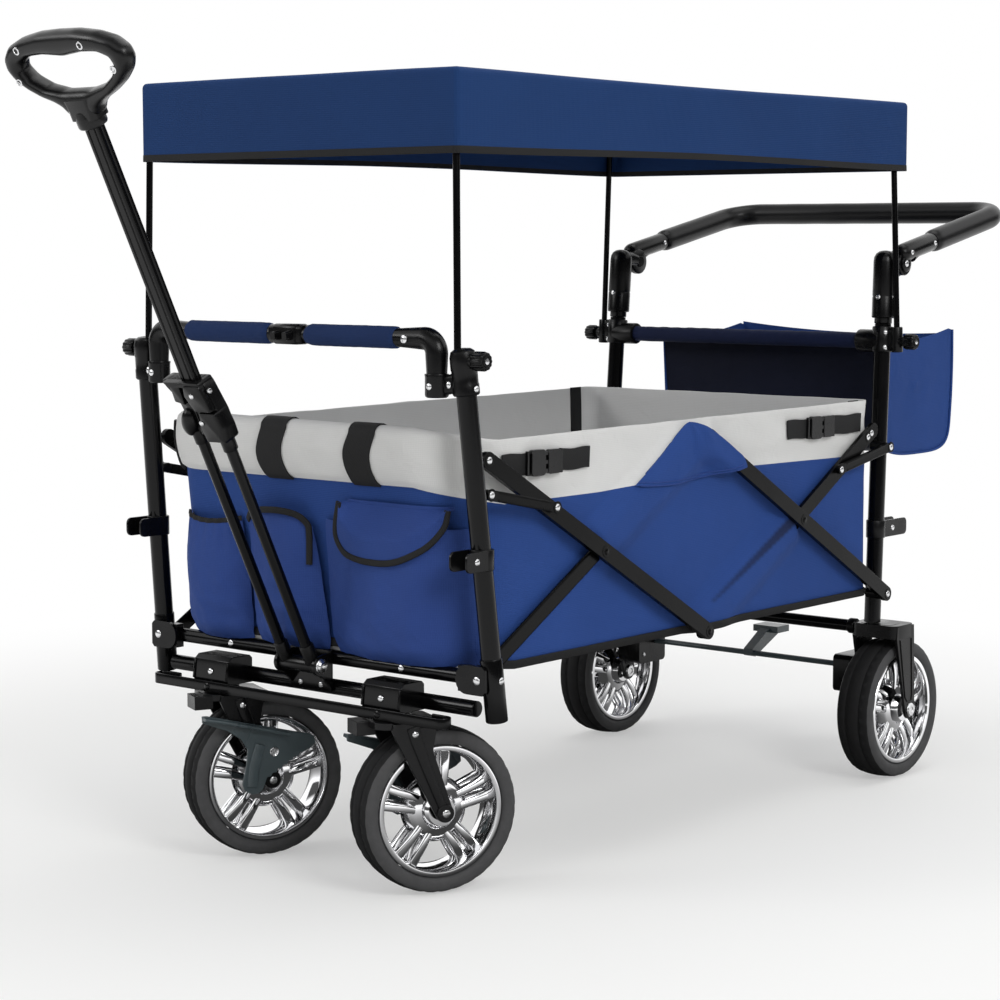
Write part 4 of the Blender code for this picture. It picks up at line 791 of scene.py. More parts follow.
def makeFrontUpright(look, side, tag):
    out = xAxis(side)
    bm = bmesh.new()
    addTube(bm, [frontPost(side, look["footLow"] + 0.004), frontPost(side, look["frontHigh"])], sizes["tube"],
            0, 36)
    addTube(bm, [frontPost(side, look["footLow"]), frontPost(side, look["footHigh"])], 0.0130, 0, 36,
            ease=0.0014)
    addTube(bm, [at(side * 0.2619, -0.004, sizes["low"]), at(side * 0.276, -0.004, sizes["low"])], 0.0085, 1,
            24)
    pinZ = sizes["frontPin"]
    pin = frontPost(side, pinZ)
    pinY = pin.y + sizes["pinAhead"]
    addLathe(bm, [(0, 0.0), (0, look["pin"]), (0.0060, look["pin"]), (0.0060, 0.0)],
             Vector((side * 0.2630, pinY, pinZ)), out, 1, 24)
    addBlock(bm, (side * 0.2660, (pin.y + pinY) / 2, pinZ), (0.0058, 0.020, 0.0105), 1)
    addClip(bm, frontPost(side, look["clipZ"]), -1, look["clipReach"], 0.0135, look["clipHalf"], 0.0143)
    addRivet(bm, frontPost(side, look["clipZ"]) + Vector((side * 0.0135, -0.024, 0)), out, 2)
    addRivet(bm, frontPost(side, 0.2685) + Vector((side * 0.0128, 0, 0)), out, 2, 0.0048)
    makePiece("frontUpright" + tag, bm, [blackSteel, blackNylon, rivetSteel], "front_frame",
              ["front_upright_" + tag], "tube", bevel=0.0006)


def makeRearUpright(look, side, tag):
    out = xAxis(side)
    bm = bmesh.new()
    addTube(bm, [rearPost(side, look["rearLow"]), rearPost(side, look["rearHigh"])], sizes["tube"], 0, 36)
    addTube(bm, [rearPost(side, 0.645), rearPost(side, 0.700)], 0.0090, 0, 28)
    pinZ = sizes["rearPin"]
    hold = rearPost(side, pinZ)
    behind = hold.y + middleY - sizes["pinBehind"]
    for y, z, radius in ((0.878, sizes["low"], 0.0085), (behind, pinZ, 0.0064)):
        addTube(bm, [at(side * 0.236, y, z), at(side * 0.2616, y, z)], radius, 1, 24)
    addBlock(bm, (side * 0.2435, hold.y - 0.008, pinZ), (0.0098, 0.014, 0.0100), 1)
    addClip(bm, rearPost(side, look["rearClipZ"]), 1, look["rearClipReach"], 0.0118, 0.012, 0.0137)
    addRivet(bm, rearPost(side, look["rearClipZ"]) + Vector((side * 0.0118, 0.027, 0)), out, 2)
    makePiece("rearUpright" + tag, bm, [blackSteel, blackNylon, rivetSteel], "rear_frame",
              ["rear_upright_" + tag], "tube", bevel=0.0006)


for side, tag in ((1, "R"), (-1, "L")):
    makeFrontUpright(postLook, side, tag)
    makeRearUpright(postLook, side, tag)
print("uprights made")

# scissor bars and braces
inner, outer, thick = sizes["innerBar"], sizes["outerBar"], sizes["barThick"]
front, pitch, low, high = sizes["frontPivot"], sizes["pitch"], sizes["low"], sizes["high"]
middle, rear = front + pitch, front + 2 * pitch
centreZ = (low + high) / 2


def makeBar(name, node, side, x, start, end, width, deep, pins, cut=0.0, ribbed=False):
    # pressed from steel strip: edges rolled over, a shallow channel down the middle, bright rivets
    bm = bmesh.new()
    startV, endV = Vector((start[0], start[1])), Vector((end[0], end[1]))
    tip = endV - (endV - startV).normalized() * cut
    addSidePlate(bm, capsule(start, tuple(tip), width), x, side, deep)
    if ribbed:
        a, b = startV.lerp(tip, 0.108), startV.lerp(tip, 1 - 0.108)
        for shift in (-1, 1):
            across = Vector((-(b - a).y, (b - a).x)).normalized() * shift * width * 0.36
            p, q = a + across, b + across
            addSweep(bm, [at(side * (x + deep), p.x, p.y), at(side * (x + deep), q.x, q.y)],
                     roundedBox(0.0016, 0.0022, 0.0007, 2), 0, side=(side, 0, 0))
    for y, z in pins:
        blacked = abs(z - centreZ) < 0.02 or (abs(y - middle) < 0.02 and z < 0.3)
        addRivet(bm, at(side * (x + deep), y, z), xAxis(side), 0 if blacked else 1, 0.0046)
        addLathe(bm, [(-0.0004, 0.0076), (0.0005, 0.0074), (0.0006, 0.0060), (0.0002, 0.0)],
                 at(side * (x + deep), y, z), xAxis(side), 0, 24)
    makePiece(name, bm, [stripSteel, rivetSteel], node, [node], "tube", bevel=min(0.0030, deep * 0.42))


for side, tag in ((1, "R"), (-1, "L")):
    hidden = 0.0056  # the cloth lies over half of each inner bar, so these are thinner than their solids
    wide = sizes["barWidth"]
    makeBar("barFrontRising" + tag, "bar_front_rising_" + tag, side, inner, (front, low), (middle, high),
            wide, hidden, [])
    makeBar("barFrontFalling" + tag, "bar_front_falling_" + tag, side, outer, (middle, low), (front, high),
            wide, thick, [(front, high), (front + pitch / 2, centreZ), (middle, low)])
    makeBar("barRearFalling" + tag, "bar_rear_falling_" + tag, side, outer, (middle, high), (rear, low), wide,
            thick, [(middle + pitch / 2, centreZ), (rear, low)])
    makeBar("barRearRising" + tag, "bar_rear_rising_" + tag, side, inner, (middle, low), (rear, high), wide,
            hidden, [(0.8335, 0.4958), (0.8425, 0.5009)], cut=0.033)
    frontFoot = (frontPost(side, sizes["frontPin"]).y + middleY + sizes["pinAhead"], sizes["frontPin"])
    rearFoot = (rearPost(side, sizes["rearPin"]).y + middleY - sizes["pinBehind"], sizes["rearPin"])
    for end, foot, tip, x in (("Front", frontFoot, (0.113, 0.458), sizes["braceX"]),
                              ("Rear", rearFoot, (0.752, 0.4565), outer)):
        makeBar("brace" + end + tag, "brace_" + end.lower() + "_" + tag, side, x, foot, tip, 0.0125, 0.0062,
                [foot, tip], ribbed=True)
print("bars made")

# front cross members
crossLook = dict(y=-0.0075, half=0.2535, upperZ=0.269, lowerZ=0.2325, plateEnd=0.2788, plateWide=0.044,
                 plateHigh=0.034, blockWide=0.060, blockDeep=0.044, blockLow=0.2226, blockHigh=0.2571)
look = crossLook
bm = bmesh.new()
addTube(bm, [at(way * look["half"], look["y"], look["upperZ"]) for way in (-1, 1)], 0.0090, 0, 28)
for side in (1, -1):
    faceY = frontPost(side, 0.286).y + middleY - 0.0131
    x0, x1 = look["plateEnd"] - look["plateWide"], look["plateEnd"]
    zLow, zHigh = look["upperZ"] - look["plateHigh"] / 2, look["upperZ"] + look["plateHigh"] / 2
    shape = [(x1 - 0.004, zLow), (x1, zLow + 0.004), (x1, zHigh - 0.004), (x1 - 0.004, zHigh)]
    shape += arcPoints((x0 + 0.016, zHigh - 0.016), 0.016, 90, 180, 6)
    shape += arcPoints((x0 + 0.016, zLow + 0.016), 0.016, 180, 270, 6)
    addPlate(bm, [(side * a, b) for a, b in shape], at(0, faceY, 0), (1, 0, 0), (0, 0, 1), 0.005, 1)
    addBlock(bm, at(side * (x0 + 0.0095), (look["y"] + faceY) / 2 - 0.002, look["upperZ"]),
             (0.017, 0.012, 0.030), 1)
    addRivet(bm, at(side * (x1 - 0.012), faceY - 0.005, look["upperZ"]), (0, -1, 0), 2, 0.0052)
    addRivet(bm, at(side * sizes["casterX"], look["y"] - 0.0088, look["upperZ"]), (0, -1, 0), 2, 0.0046)
makePiece("crossbarUpper", bm, [blackSteel, blackNylon, rivetSteel], "front_frame", ["front_upper_crossbar"],
          "tube", bevel=0.0009)

bm = bmesh.new()
addTube(bm, [at(way * look["half"], look["y"], look["lowerZ"]) for way in (-1, 1)], 0.0095, 0, 28)
for side in (1, -1):
    cx, cy = side * sizes["casterX"], sizes["casterY"]
    half, deep = look["blockWide"] / 2, look["blockDeep"] / 2
    zLow, zHigh = look["blockLow"], look["blockHigh"]
    # a folded box bracket: its front leans back a little and its corners are round
    shape = [(-deep + 0.002, zLow), (deep, zLow), (deep, zHigh - 0.004), (deep - 0.004, zHigh),
             (-deep + 0.009, zHigh), (-deep + 0.003, zHigh - 0.005), (-deep, zLow + 0.006)]
    addPlate(bm, shape, at(cx - half, cy, 0), (0, 1, 0), (0, 0, 1), 2 * half, 0)
    for edge in (1, -1):
        addSweep(bm, [at(cx + edge * (half - 0.0015), cy - deep - 0.0008, zLow + 0.005),
                      at(cx + edge * (half - 0.0015), cy - deep + 0.0022, zHigh - 0.006)],
                 roundedBox(0.0030, 0.0030, 0.0012, 2), 0, side=(1, 0, 0))
    addRivet(bm, at(cx, cy - deep + 0.0005, (zLow + zHigh) / 2 - 0.002), (0, -1, 0), 1, 0.0042)
makePiece("crossbarLower", bm, [blackSteel, rivetSteel], "front_frame", ["front_lower_crossbar"], "tube",
          bevel=0.0022)

bm = bmesh.new()
bumperLook = dict(half=0.2420, y=-0.0560, z=0.2200, turn=0.0090, tail=0.030)
look = bumperLook
tailY = look["y"] + 2 * look["turn"]
route = [(look["half"] - look["tail"], tailY), (look["half"], tailY), (look["half"], look["y"])]
route = [at(-x, y, look["z"]) for x, y in route] + [at(x, y, look["z"]) for x, y in route[::-1]]
addSweep(bm, bendPath(route, look["turn"], 8), roundedBox(0.0042, 0.0135, 0.0014, 2), 0, side=(0, 1, 0))
for x in (-sizes["casterX"], sizes["casterX"]):
    addTube(bm, [at(x, look["y"] + 0.001, look["z"]), at(x, -0.040, look["z"] + 0.004)], 0.0055, 0, 20)
    addRivet(bm, at(x, look["y"] - 0.0020, look["z"]), (0, -1, 0), 0, 0.0046)
makePiece("bumper", bm, [blackSteel], "front_frame", ["front_bumper"], "tube", bevel=0.0)

bm = bmesh.new()
pullY, pullZ = -0.038, 0.262
cheekIn = 0.0290
backY = crossLook["y"] - 0.0098
addBlock(bm, at(0, backY - 0.002, 0.2535), (2 * (cheekIn + 0.005), 0.004, 0.051), 0)
for side in (1, -1):
    shape = [(backY - 0.001, 0.2320), *arcPoints((pullY, pullZ), 0.0125, 270, 90, 12),
             (backY - 0.001, 0.2770)]
    addSidePlate(bm, shape, cheekIn, side, 0.005)
    addLathe(bm, [(0, 0.0095), (0.0012, 0.0095), (0.0020, 0.0086), (0.0022, 0.0072), (0.0034, 0.0066),
                  (0.0044, 0.0050), (0.0047, 0.0)], at(side * (cheekIn + 0.005), pullY, pullZ), xAxis(side),
             1, 24)
for x in (-0.017, 0.017):
    addRivet(bm, at(x, backY - 0.004, 0.236), (0, -1, 0), 1, 0.0038)
makePiece("handleBracket", bm, [blackSteel, rivetSteel], "front_frame", ["handle_bracket"], "tube",
          bevel=0.0009)
print("front cross members made")

# grab bar
grabLook = dict(x=0.230, y=-0.050, z=0.660, thin=0.0105, thick=0.0131, foot=0.5963, bend=0.034, padIn=0.0305,
                padOut=0.172, pad=0.0133)
look = grabLook
bm = bmesh.new()
path, scales = [], []
corners = [(look["x"], look["foot"]), (look["x"], 0.6240), (look["x"], look["z"]), (0.168, look["z"])]
route = bendPath([at(x, look["y"], z) for x, z in corners] + [at(-x, look["y"], z) for x, z in corners[::-1]],
                 look["bend"], 10)
route = [p for k, p in enumerate(route) if k == 0 or (p - route[k - 1]).length > 1e-5]
for p in route:
    reach = clamp((p.z - 0.6215) / 0.004) * clamp((abs(p.x) - 0.1718) / 0.010)
    path.append(p)
    scales.append(1.0 + (look["thick"] / look["thin"] - 1) * reach)
addSweep(bm, path, circle(look["thin"], 28), 0, side=(0, 1, 0), scales=scales)
# the release clip at the middle: a stepped body with two prongs to the front
for x0, x1, half in ((-0.027, 0.027, 0.0112), (-0.019, 0.019, 0.0122)):
    addSweep(bm, [at(x0, look["y"], look["z"]), at(x0 + 0.002, look["y"], look["z"]),
                  at(x1 - 0.002, look["y"], look["z"]), at(x1, look["y"], look["z"])],
             roundedBox(half * 2, half * 2, 0.005, 4), 0, side=(0, 1, 0), scales=[0.93, 1.0, 1.0, 0.93])
for x in (-0.0095, 0.0095):
    addSweep(bm, [at(x, look["y"] - 0.010, look["z"] - 0.001), at(x, look["y"] - 0.0215, look["z"] - 0.002)],
             roundedBox(0.009, 0.011, 0.002, 3), 0, side=(1, 0, 0), scales=[1.1, 0.8])
for side in (1, -1):
    addRivet(bm, at(side * 0.1915, look["y"] - 0.0128, look["z"] - 0.001), (0, -1, 0), 1, 0.0048)
makePiece("grabBar", bm, [blackNylon, rivetSteel], "front_frame", ["grab_bar"], "tube", bevel=0.0)

for side, tag in ((1, "R"), (-1, "L")):
    bm = bmesh.new()
    rings = 46
    path = [at(side * (look["padIn"] + (look["padOut"] - look["padIn"]) * k / (rings - 1)), look["y"],
               look["z"]) for k in range(rings)]
    drawn = [0.86, 0.95] + [1.0] * (rings - 3) + [0.86]  # the ends are drawn in by their hems
    made = addSweep(bm, path, circle(1.0, 36), 0, side=(0, 1, 0),
                    scales=[look["pad"] * grow for grow in drawn])
    for k, (ring, middlePoint) in enumerate(zip(made, path)):
        t = k / (rings - 1)
        close = max(0.0, 1 - min(t, 1 - t) * 12)
        for vert in ring:
            away = vert.co - middlePoint
            ripple = noiseAt(vert.co.x * 120, vert.co.y * 60, vert.co.z * 60 + side)
            vert.co = middlePoint + away * (1 - 0.03 - 0.02 * ripple - 0.05 * close * (0.5 + ripple))
    pad = makePiece("grabPad" + tag, bm, [padCloth], "front_frame", ["grab_pad_" + tag], "pad")
print("grab bar made")

# corner clamps and knobs
clampLook = dict(low=0.597, high=0.650, radius=0.0155, rearLow=0.612, rearHigh=0.648)


def makeKnob(name, centre, side, body, node):
    # a hand knob: fluted round its grip, with a raised ring and a bright screw in its face
    bm = bmesh.new()
    outline = []
    for step in range(96):
        angle = math.tau * step / 96
        r = 0.0112 * (0.955 + 0.045 * math.cos(12 * angle))
        outline.append((r * math.cos(angle), r * math.sin(angle)))
    rows = [(0.0, 0.90), (0.0012, 1.0), (0.0145, 1.0), (0.0165, 0.94), (0.0175, 0.84)]
    rings = [[bm.verts.new(centre + xAxis(side) * along + Vector((0, a * grow, b * grow)))
              for a, b in outline] for along, grow in rows]
    joinRings(bm, rings)
    capRings(bm, rings)
    addLathe(bm, [(0.0170, 0.0072), (0.0183, 0.0068), (0.0183, 0.0058), (0.0174, 0.0052), (0.0174, 0.0)],
             centre, xAxis(side), 0, 32)
    addLathe(bm, [(0.0172, 0.0036), (0.0181, 0.0034), (0.0184, 0.0020), (0.0184, 0.0)], centre, xAxis(side),
             1, 16)
    makePiece(name, bm, [blackNylon, rivetSteel], body, [node], "moulding", angle=40)


def makeFrontClamp(look, side, tag):
    out = xAxis(side)
    bm = bmesh.new()
    base, crown = frontPost(side, look["low"]), frontPost(side, look["high"])
    along = (crown - base).normalized()
    long = (crown - base).length
    addLathe(bm, [(0.0, 0.0120), (0.0, 0.0143), (0.0016, 0.0155), (0.012, 0.0155), (0.0135, 0.0149),
                  (0.0280, 0.0149), (0.0295, 0.0155), (long - 0.010, 0.0155), (long - 0.0035, 0.0138),
                  (long - 0.0006, 0.0098), (long, 0.0052), (long - 0.001, 0.0)], base, along, 0, 40)
    socket = at(side * grabLook["x"], grabLook["y"], 0)
    addLathe(bm, [(0.5935, 0.0), (0.5935, 0.0112), (0.5950, 0.0132), (0.5970, 0.0137), (0.6170, 0.0137),
                  (0.6195, 0.0142), (0.6205, 0.0138), (0.6205, 0.0109), (0.6180, 0.0108)], socket, (0, 0, 1),
             0, 36)
    addSweep(bm, [at(side * 0.232, -0.048, 0.607), at(side * 0.246, -0.044, 0.609),
                  at(side * 0.262, -0.0405, 0.611)], roundedBox(0.016, 0.024, 0.005, 3), 0, side=(0, 1, 0),
             scales=[1.0, 0.92, 1.15])
    knobY = frontPost(side, 0.636).y + middleY
    addTube(bm, [at(side * 0.262, knobY, 0.636), at(side * 0.2795, knobY, 0.636)], 0.0085, 0, 24, ease=0.001)
    addRivet(bm, at(side * 0.2485, -0.0515, 0.6085), (0, -1, 0), 1, 0.0042)
    addRivet(bm, socket + Vector((0, -0.0134, 0.6065)), (0, -1, 0), 1, 0.0040)
    addRivet(bm, frontPost(side, 0.6045) + out * 0.0153, out, 1, 0.0038)
    makePiece("clampFront" + tag, bm, [blackNylon, rivetSteel], "front_frame", ["clamp_front_" + tag],
              "moulding", bevel=0.0)
    makeKnob("knobFront" + tag, at(side * 0.2798, knobY, 0.636), side, "knob_front_" + tag,
             "knob_front_" + tag)


def makeRearClamp(look, side, tag):
    bm = bmesh.new()
    base, crown = rearPost(side, look["rearLow"]), rearPost(side, look["rearHigh"])
    along = (crown - base).normalized()
    long = (crown - base).length
    addLathe(bm, [(0.0, 0.0118), (0.0, 0.0140), (0.0015, 0.0150), (long - 0.0015, 0.0150), (long, 0.0140),
                  (long, 0.0118)], base, along, 0, 40)
    y0 = 0.9058
    addTube(bm, [at(side * 0.2616, y0, look["rearLow"]), at(side * 0.2605, y0, look["rearHigh"])], 0.0080, 0,
            28, ease=0.0014)
    addSweep(bm, [at(side * 0.2400, y0, 0.630), at(side * 0.2600, y0, 0.630)],
             roundedBox(0.0110, 0.0330, 0.0035, 3), 0, side=(0, 1, 0))
    addTube(bm, [at(side * 0.262, y0, 0.6275), at(side * 0.2742, y0, 0.6275)], 0.0070, 0, 20, ease=0.001)
    collar = rearPost(1, 0.6275)  # the collar that the bag bar ends in
    addTube(bm, [at(side * (collar.x - 0.0375), collar.y + middleY, 0.6275),
                 at(side * collar.x, collar.y + middleY, 0.6275)], 0.0160, 0, 36, ease=0.0016)
    for z in (0.6400, 0.6190):
        addRivet(bm, rearPost(side, z) + Vector((side * 0.011, -0.0105, 0)), (side * 0.7, -0.7, 0), 1, 0.0036)
    makePiece("clampRear" + tag, bm, [blackNylon, rivetSteel], "rear_frame", ["clamp_rear_" + tag],
              "moulding")
    makeKnob("knobRear" + tag, at(side * 0.2745, y0, 0.6275), side, "knob_rear_" + tag, "knob_rear_" + tag)


for side, tag in ((1, "R"), (-1, "L")):
    makeFrontClamp(clampLook, side, tag)
    makeRearClamp(clampLook, side, tag)
print("clamps made")

# canopy hoops
hoopTop = 0.9565  # the middle line of the hoops' upper bars, just under the canopy's top
for name, foot, top, z in (("Front", (0.2565, -0.0445), (0.2505, -0.0400), 0.6315),
                           ("Rear", (0.2620, 0.9060), (0.2488, 0.9045), 0.620)):
    share = (z - 0.600) / (hoopTop - 0.600)
    x0, y0 = foot[0] + (top[0] - foot[0]) * share, foot[1] + (top[1] - foot[1]) * share
    bm = bmesh.new()
    addTube(bm, bendPath([at(x0, y0, z), at(top[0], top[1], hoopTop), at(-top[0], top[1], hoopTop),
                          at(-x0, y0, z)], 0.014, 8), 0.0042, 0, 20)
    makePiece("canopyHoop" + name, bm, [blackSteel], "front_frame" if name == "Front" else "rear_frame",
              ["canopy_hoop_" + name.lower()], "tube")
print("hoops made")

# canopy
canopyLook = dict(half=0.2595, front=-0.0480, back=0.9303, top=0.9638, drop=0.0965, edge=0.006, sag=0.0070,
                  hemRise=0.004, ripple=0.0040, folds=4, binding=0.0085, wall=0.0016)


def canopySurface(look, cells=(34, 56), skirtRows=20, corner=6):
    # the top as a grid, then rows that roll over its edge and hang down to the hem, all in one sheet
    half, edge = look["half"], look["edge"]
    xs = [(-half + edge) + 2 * (half - edge) * k / cells[0] for k in range(cells[0] + 1)]
    y0, y1 = look["front"] + edge, look["back"] - edge
    ys = [y0 + (y1 - y0) * k / cells[1] for k in range(cells[1] + 1)]
    spots, faces, marks = [], [], []
    grid = {}
    for i, x in enumerate(xs):
        for j, y in enumerate(ys):
            grid[i, j] = len(spots)
            spots.append(Vector((x, y, look["top"])))
    for i in range(cells[0]):
        for j in range(cells[1]):
            faces.append((grid[i, j], grid[i + 1, j], grid[i + 1, j + 1], grid[i, j + 1]))
            marks.append(0)
    loop = []
    nx, ny = cells

    def side(points, direction, nextDirection):
        for p in points:
            loop.append((p, Vector(direction)))
        for step in range(1, corner):
            loop.append((points[-1], Vector(direction).slerp(Vector(nextDirection), step / corner)))

    side([grid[i, 0] for i in range(nx + 1)], (0, -1, 0), (1, 0, 0))
    side([grid[nx, j] for j in range(ny + 1)], (1, 0, 0), (0, 1, 0))
    side([grid[i, ny] for i in range(nx, -1, -1)], (0, 1, 0), (-1, 0, 0))
    side([grid[0, j] for j in range(ny, -1, -1)], (-1, 0, 0), (0, -1, 0))
    rows = []
    for step in range(1, 4):
        angle = math.radians(30 * step)
        rows.append((edge * math.sin(angle), edge * (1 - math.cos(angle))))
    bottom = look["drop"]
    straight = [edge + (bottom - look["binding"] - edge) * k / (skirtRows - 2)
                for k in range(1, skirtRows - 1)]
    rows += [(edge, drop) for drop in straight] + [(edge + 0.0004, bottom - look["binding"] + 0.0003),
                                                   (edge + 0.0006, bottom - 0.001), (edge + 0.0002, bottom)]
    before = [p for p, direction in loop]
    for index, (outward, drop) in enumerate(rows):
        now = []
        for p, direction in loop:
            now.append(len(spots))
            spots.append(spots[p] + direction * outward - Vector((0, 0, drop)))
        size = len(loop)
        for k in range(size):
            n = (k + 1) % size
            if before[k] == before[n]:
                faces.append((before[k], now[n], now[k]))
            else:
                faces.append((before[k], before[n], now[n], now[k]))
            marks.append(1 if index >= len(rows) - 3 else 0)
        before = now
    return spots, faces, marks


def shapeCanopy(look, p):
    # sag between the hoops, a hem that rises mid span, shallow folds in the sides, small creases
    length = look["back"] - look["front"]
    along = clamp((p.y - look["front"]) / length)
    across = min(1.0, abs(p.x) / look["half"])
    hang = clamp((look["top"] - p.z) / look["drop"])
    mid = math.sin(math.pi * along) ** 2
    centre = math.cos(math.pi / 2 * across) ** 2
    out = p.copy()
    out.z -= look["sag"] * mid * (0.35 + 0.65 * centre) * (1 - hang)
    out.z += look["hemRise"] * mid * hang * across ** 4
    crease = noiseAt(p.x * 5, p.y * 3.2, p.z * 6)
    if across > 0.9:
        wave = 0.5 - 0.5 * math.cos(math.tau * look["folds"] * along)
        slack = 0.5 + 0.5 * noiseAt(p.y * 9.0, p.z * 5.0, 3.0 if p.x > 0 else 7.0)
        out.x -= math.copysign(look["ripple"] * (0.7 * wave + 0.5 * slack) * hang * min(1.0, 1.6 * mid), p.x)
    else:
        end = clamp((abs(p.y - look["front"] - length / 2) - length / 2 + 0.02) / 0.02)
        slack = 0.5 + 0.5 * noiseAt(p.x * 13.0, p.z * 6.0, 11.0)
        way = 1 if p.y < look["front"] + length / 2 else -1
        out.y += (0.0028 * slack * hang * (1 - across ** 6)) * way * end
    out.z += 0.0012 * crease * (1 - hang)
    return out


spots, faces, marks = canopySurface(canopyLook)
spots = [at(*shapeCanopy(canopyLook, p)) for p in spots]
canopy = shellPiece("canopyCloth", spots, faces, canopyLook["wall"], [canopyPolyester, blackTape],
                    "front_frame", ["canopy_cloth"], "canopy_cloth", marks)
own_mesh(canopy)
print("canopy made")

# basket
basketLook = dict(half=0.2500, back=0.8595, frontCorner=0.075, backCorner=0.022, floor=0.2765, under=0.2708,
                  sideLow=0.2718, frontLow=0.2855, split=0.4655, frontSplit=0.4860, sideTop=0.5405,
                  topRise=0.0050, frontTop=0.5455, wall=0.0032, roll=0.0170, rollOut=0.0085, rollMore=0.0045,
                  ridgeX=0.0108, ridgeFlat=0.0112, ridgeSoft=0.0340)


def squashed(piece):
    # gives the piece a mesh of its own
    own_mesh(piece)
    return piece


def clothPiece(name, bm, mats, nodes=(), **more):
    return squashed(makePiece(name, bm, mats, "front_frame", nodes, "side_cloth", **more))


def clothShell(name, spots, faces, wall, mats, nodes=()):
    return squashed(shellPiece(name, spots, faces, wall, mats, "front_frame", nodes, "side_cloth"))


def clothOver(y, z):
    # 0 to 1 where the side cloth lies over an inner bar: half of each, beyond its crossing
    best = 0.0
    for start, end in (((front + pitch / 2, centreZ), (middle, high)),
                       ((middle + pitch / 2, centreZ), (middle, low))):
        a, b = Vector(start), Vector(end)
        line = b - a
        share = (Vector((y, z)) - a).dot(line) / line.length_squared
        off = (Vector((y, z)) - a - line * share).length
        entering = clamp((share * line.length + 0.006) / 0.018)
        leaving = clamp((line.length + 0.030 - share * line.length) / 0.02)
        near = clamp((basketLook["ridgeFlat"] + basketLook["ridgeSoft"] - off) / basketLook["ridgeSoft"])
        best = max(best, smoothStep(near) * smoothStep(entering) * leaving)
    return best


def barShadow(y, z):
    # painted shadow: the dark tapering line painted where the rear inner bar presses the cloth
    a, b = Vector((0.6560, 0.4020)), Vector((0.4610, 0.3070))
    line = b - a
    share = (Vector((y, z)) - a).dot(line) / line.length_squared
    if share < -0.02 or share > 1.02:
        return 0.0
    off = (Vector((y, z)) - a - line * share).length
    half = 0.0078 + (0.0010 - 0.0078) * share
    return (0.95 - 0.35 * share) * clamp((half + 0.0022 - off) / 0.0030)


def basketColumns(look):
    # round the basket: each column's place in plan as a function of its front's depth, its outward direction,
    # and how much of a front column it is
    half, r, rb = look["half"], look["frontCorner"], look["backCorner"]
    columns = []

    def run(count, make):
        for k in range(count):
            columns.append(make(k / count))

    wide = half - r
    run(48, lambda t: dict(x=-wide + 2 * wide * t, fromFront=0.0, nx=0.0, ny=-1.0, share=1.0))
    run(14, lambda t: dict(x=wide + r * math.sin(t * math.pi / 2),
                           fromFront=r - r * math.cos(t * math.pi / 2), nx=math.sin(t * math.pi / 2),
                           ny=-math.cos(t * math.pi / 2), share=1 - t))
    run(210, lambda t: dict(x=half, along=t, nx=1.0, ny=0.0, share=0.0))
    run(8, lambda t: dict(x=half - rb + rb * math.cos(t * math.pi / 2),
                          y=look["back"] - rb + rb * math.sin(t * math.pi / 2), nx=math.cos(t * math.pi / 2),
                          ny=math.sin(t * math.pi / 2), share=0.0))
    run(48, lambda t: dict(x=(half - rb) * (1 - 2 * t), y=look["back"], nx=0.0, ny=1.0, share=0.0))
    run(8, lambda t: dict(x=-(half - rb) - rb * math.sin(t * math.pi / 2),
                          y=look["back"] - rb + rb * math.cos(t * math.pi / 2), nx=-math.sin(t * math.pi / 2),
                          ny=math.cos(t * math.pi / 2), share=0.0))
    run(210, lambda t: dict(x=-half, along=1 - t, nx=-1.0, ny=0.0, share=0.0))
    run(14, lambda t: dict(x=-wide - r * math.cos(t * math.pi / 2),
                           fromFront=r - r * math.sin(t * math.pi / 2), nx=-math.cos(t * math.pi / 2),
                           ny=-math.sin(t * math.pi / 2), share=min(1.0, t / 0.4)))
    return columns


def splitHeight(look, column):
    if column["share"] > 0:
        return look["split"] + (look["frontSplit"] - look["split"]) * column["share"]
    if "along" not in column:
        return look["split"] + 0.0045
    t = clamp((column["along"] - 0.22) / 0.22)
    later = clamp((column["along"] - 0.55) / 0.45)
    return look["split"] + 0.0100 * smoothStep(t) - 0.0055 * later


def frontFace(z):
    return frontPost(1, max(z, 0.2855)).y + middleY - 0.0040


def columnY(look, column, z):
    face = frontFace(z)
    if "fromFront" in column:
        return face + column["fromFront"]
    if "along" in column:
        start, end = face + look["frontCorner"], look["back"] - look["backCorner"]
        return start + (end - start) * column["along"]
    return column["y"]


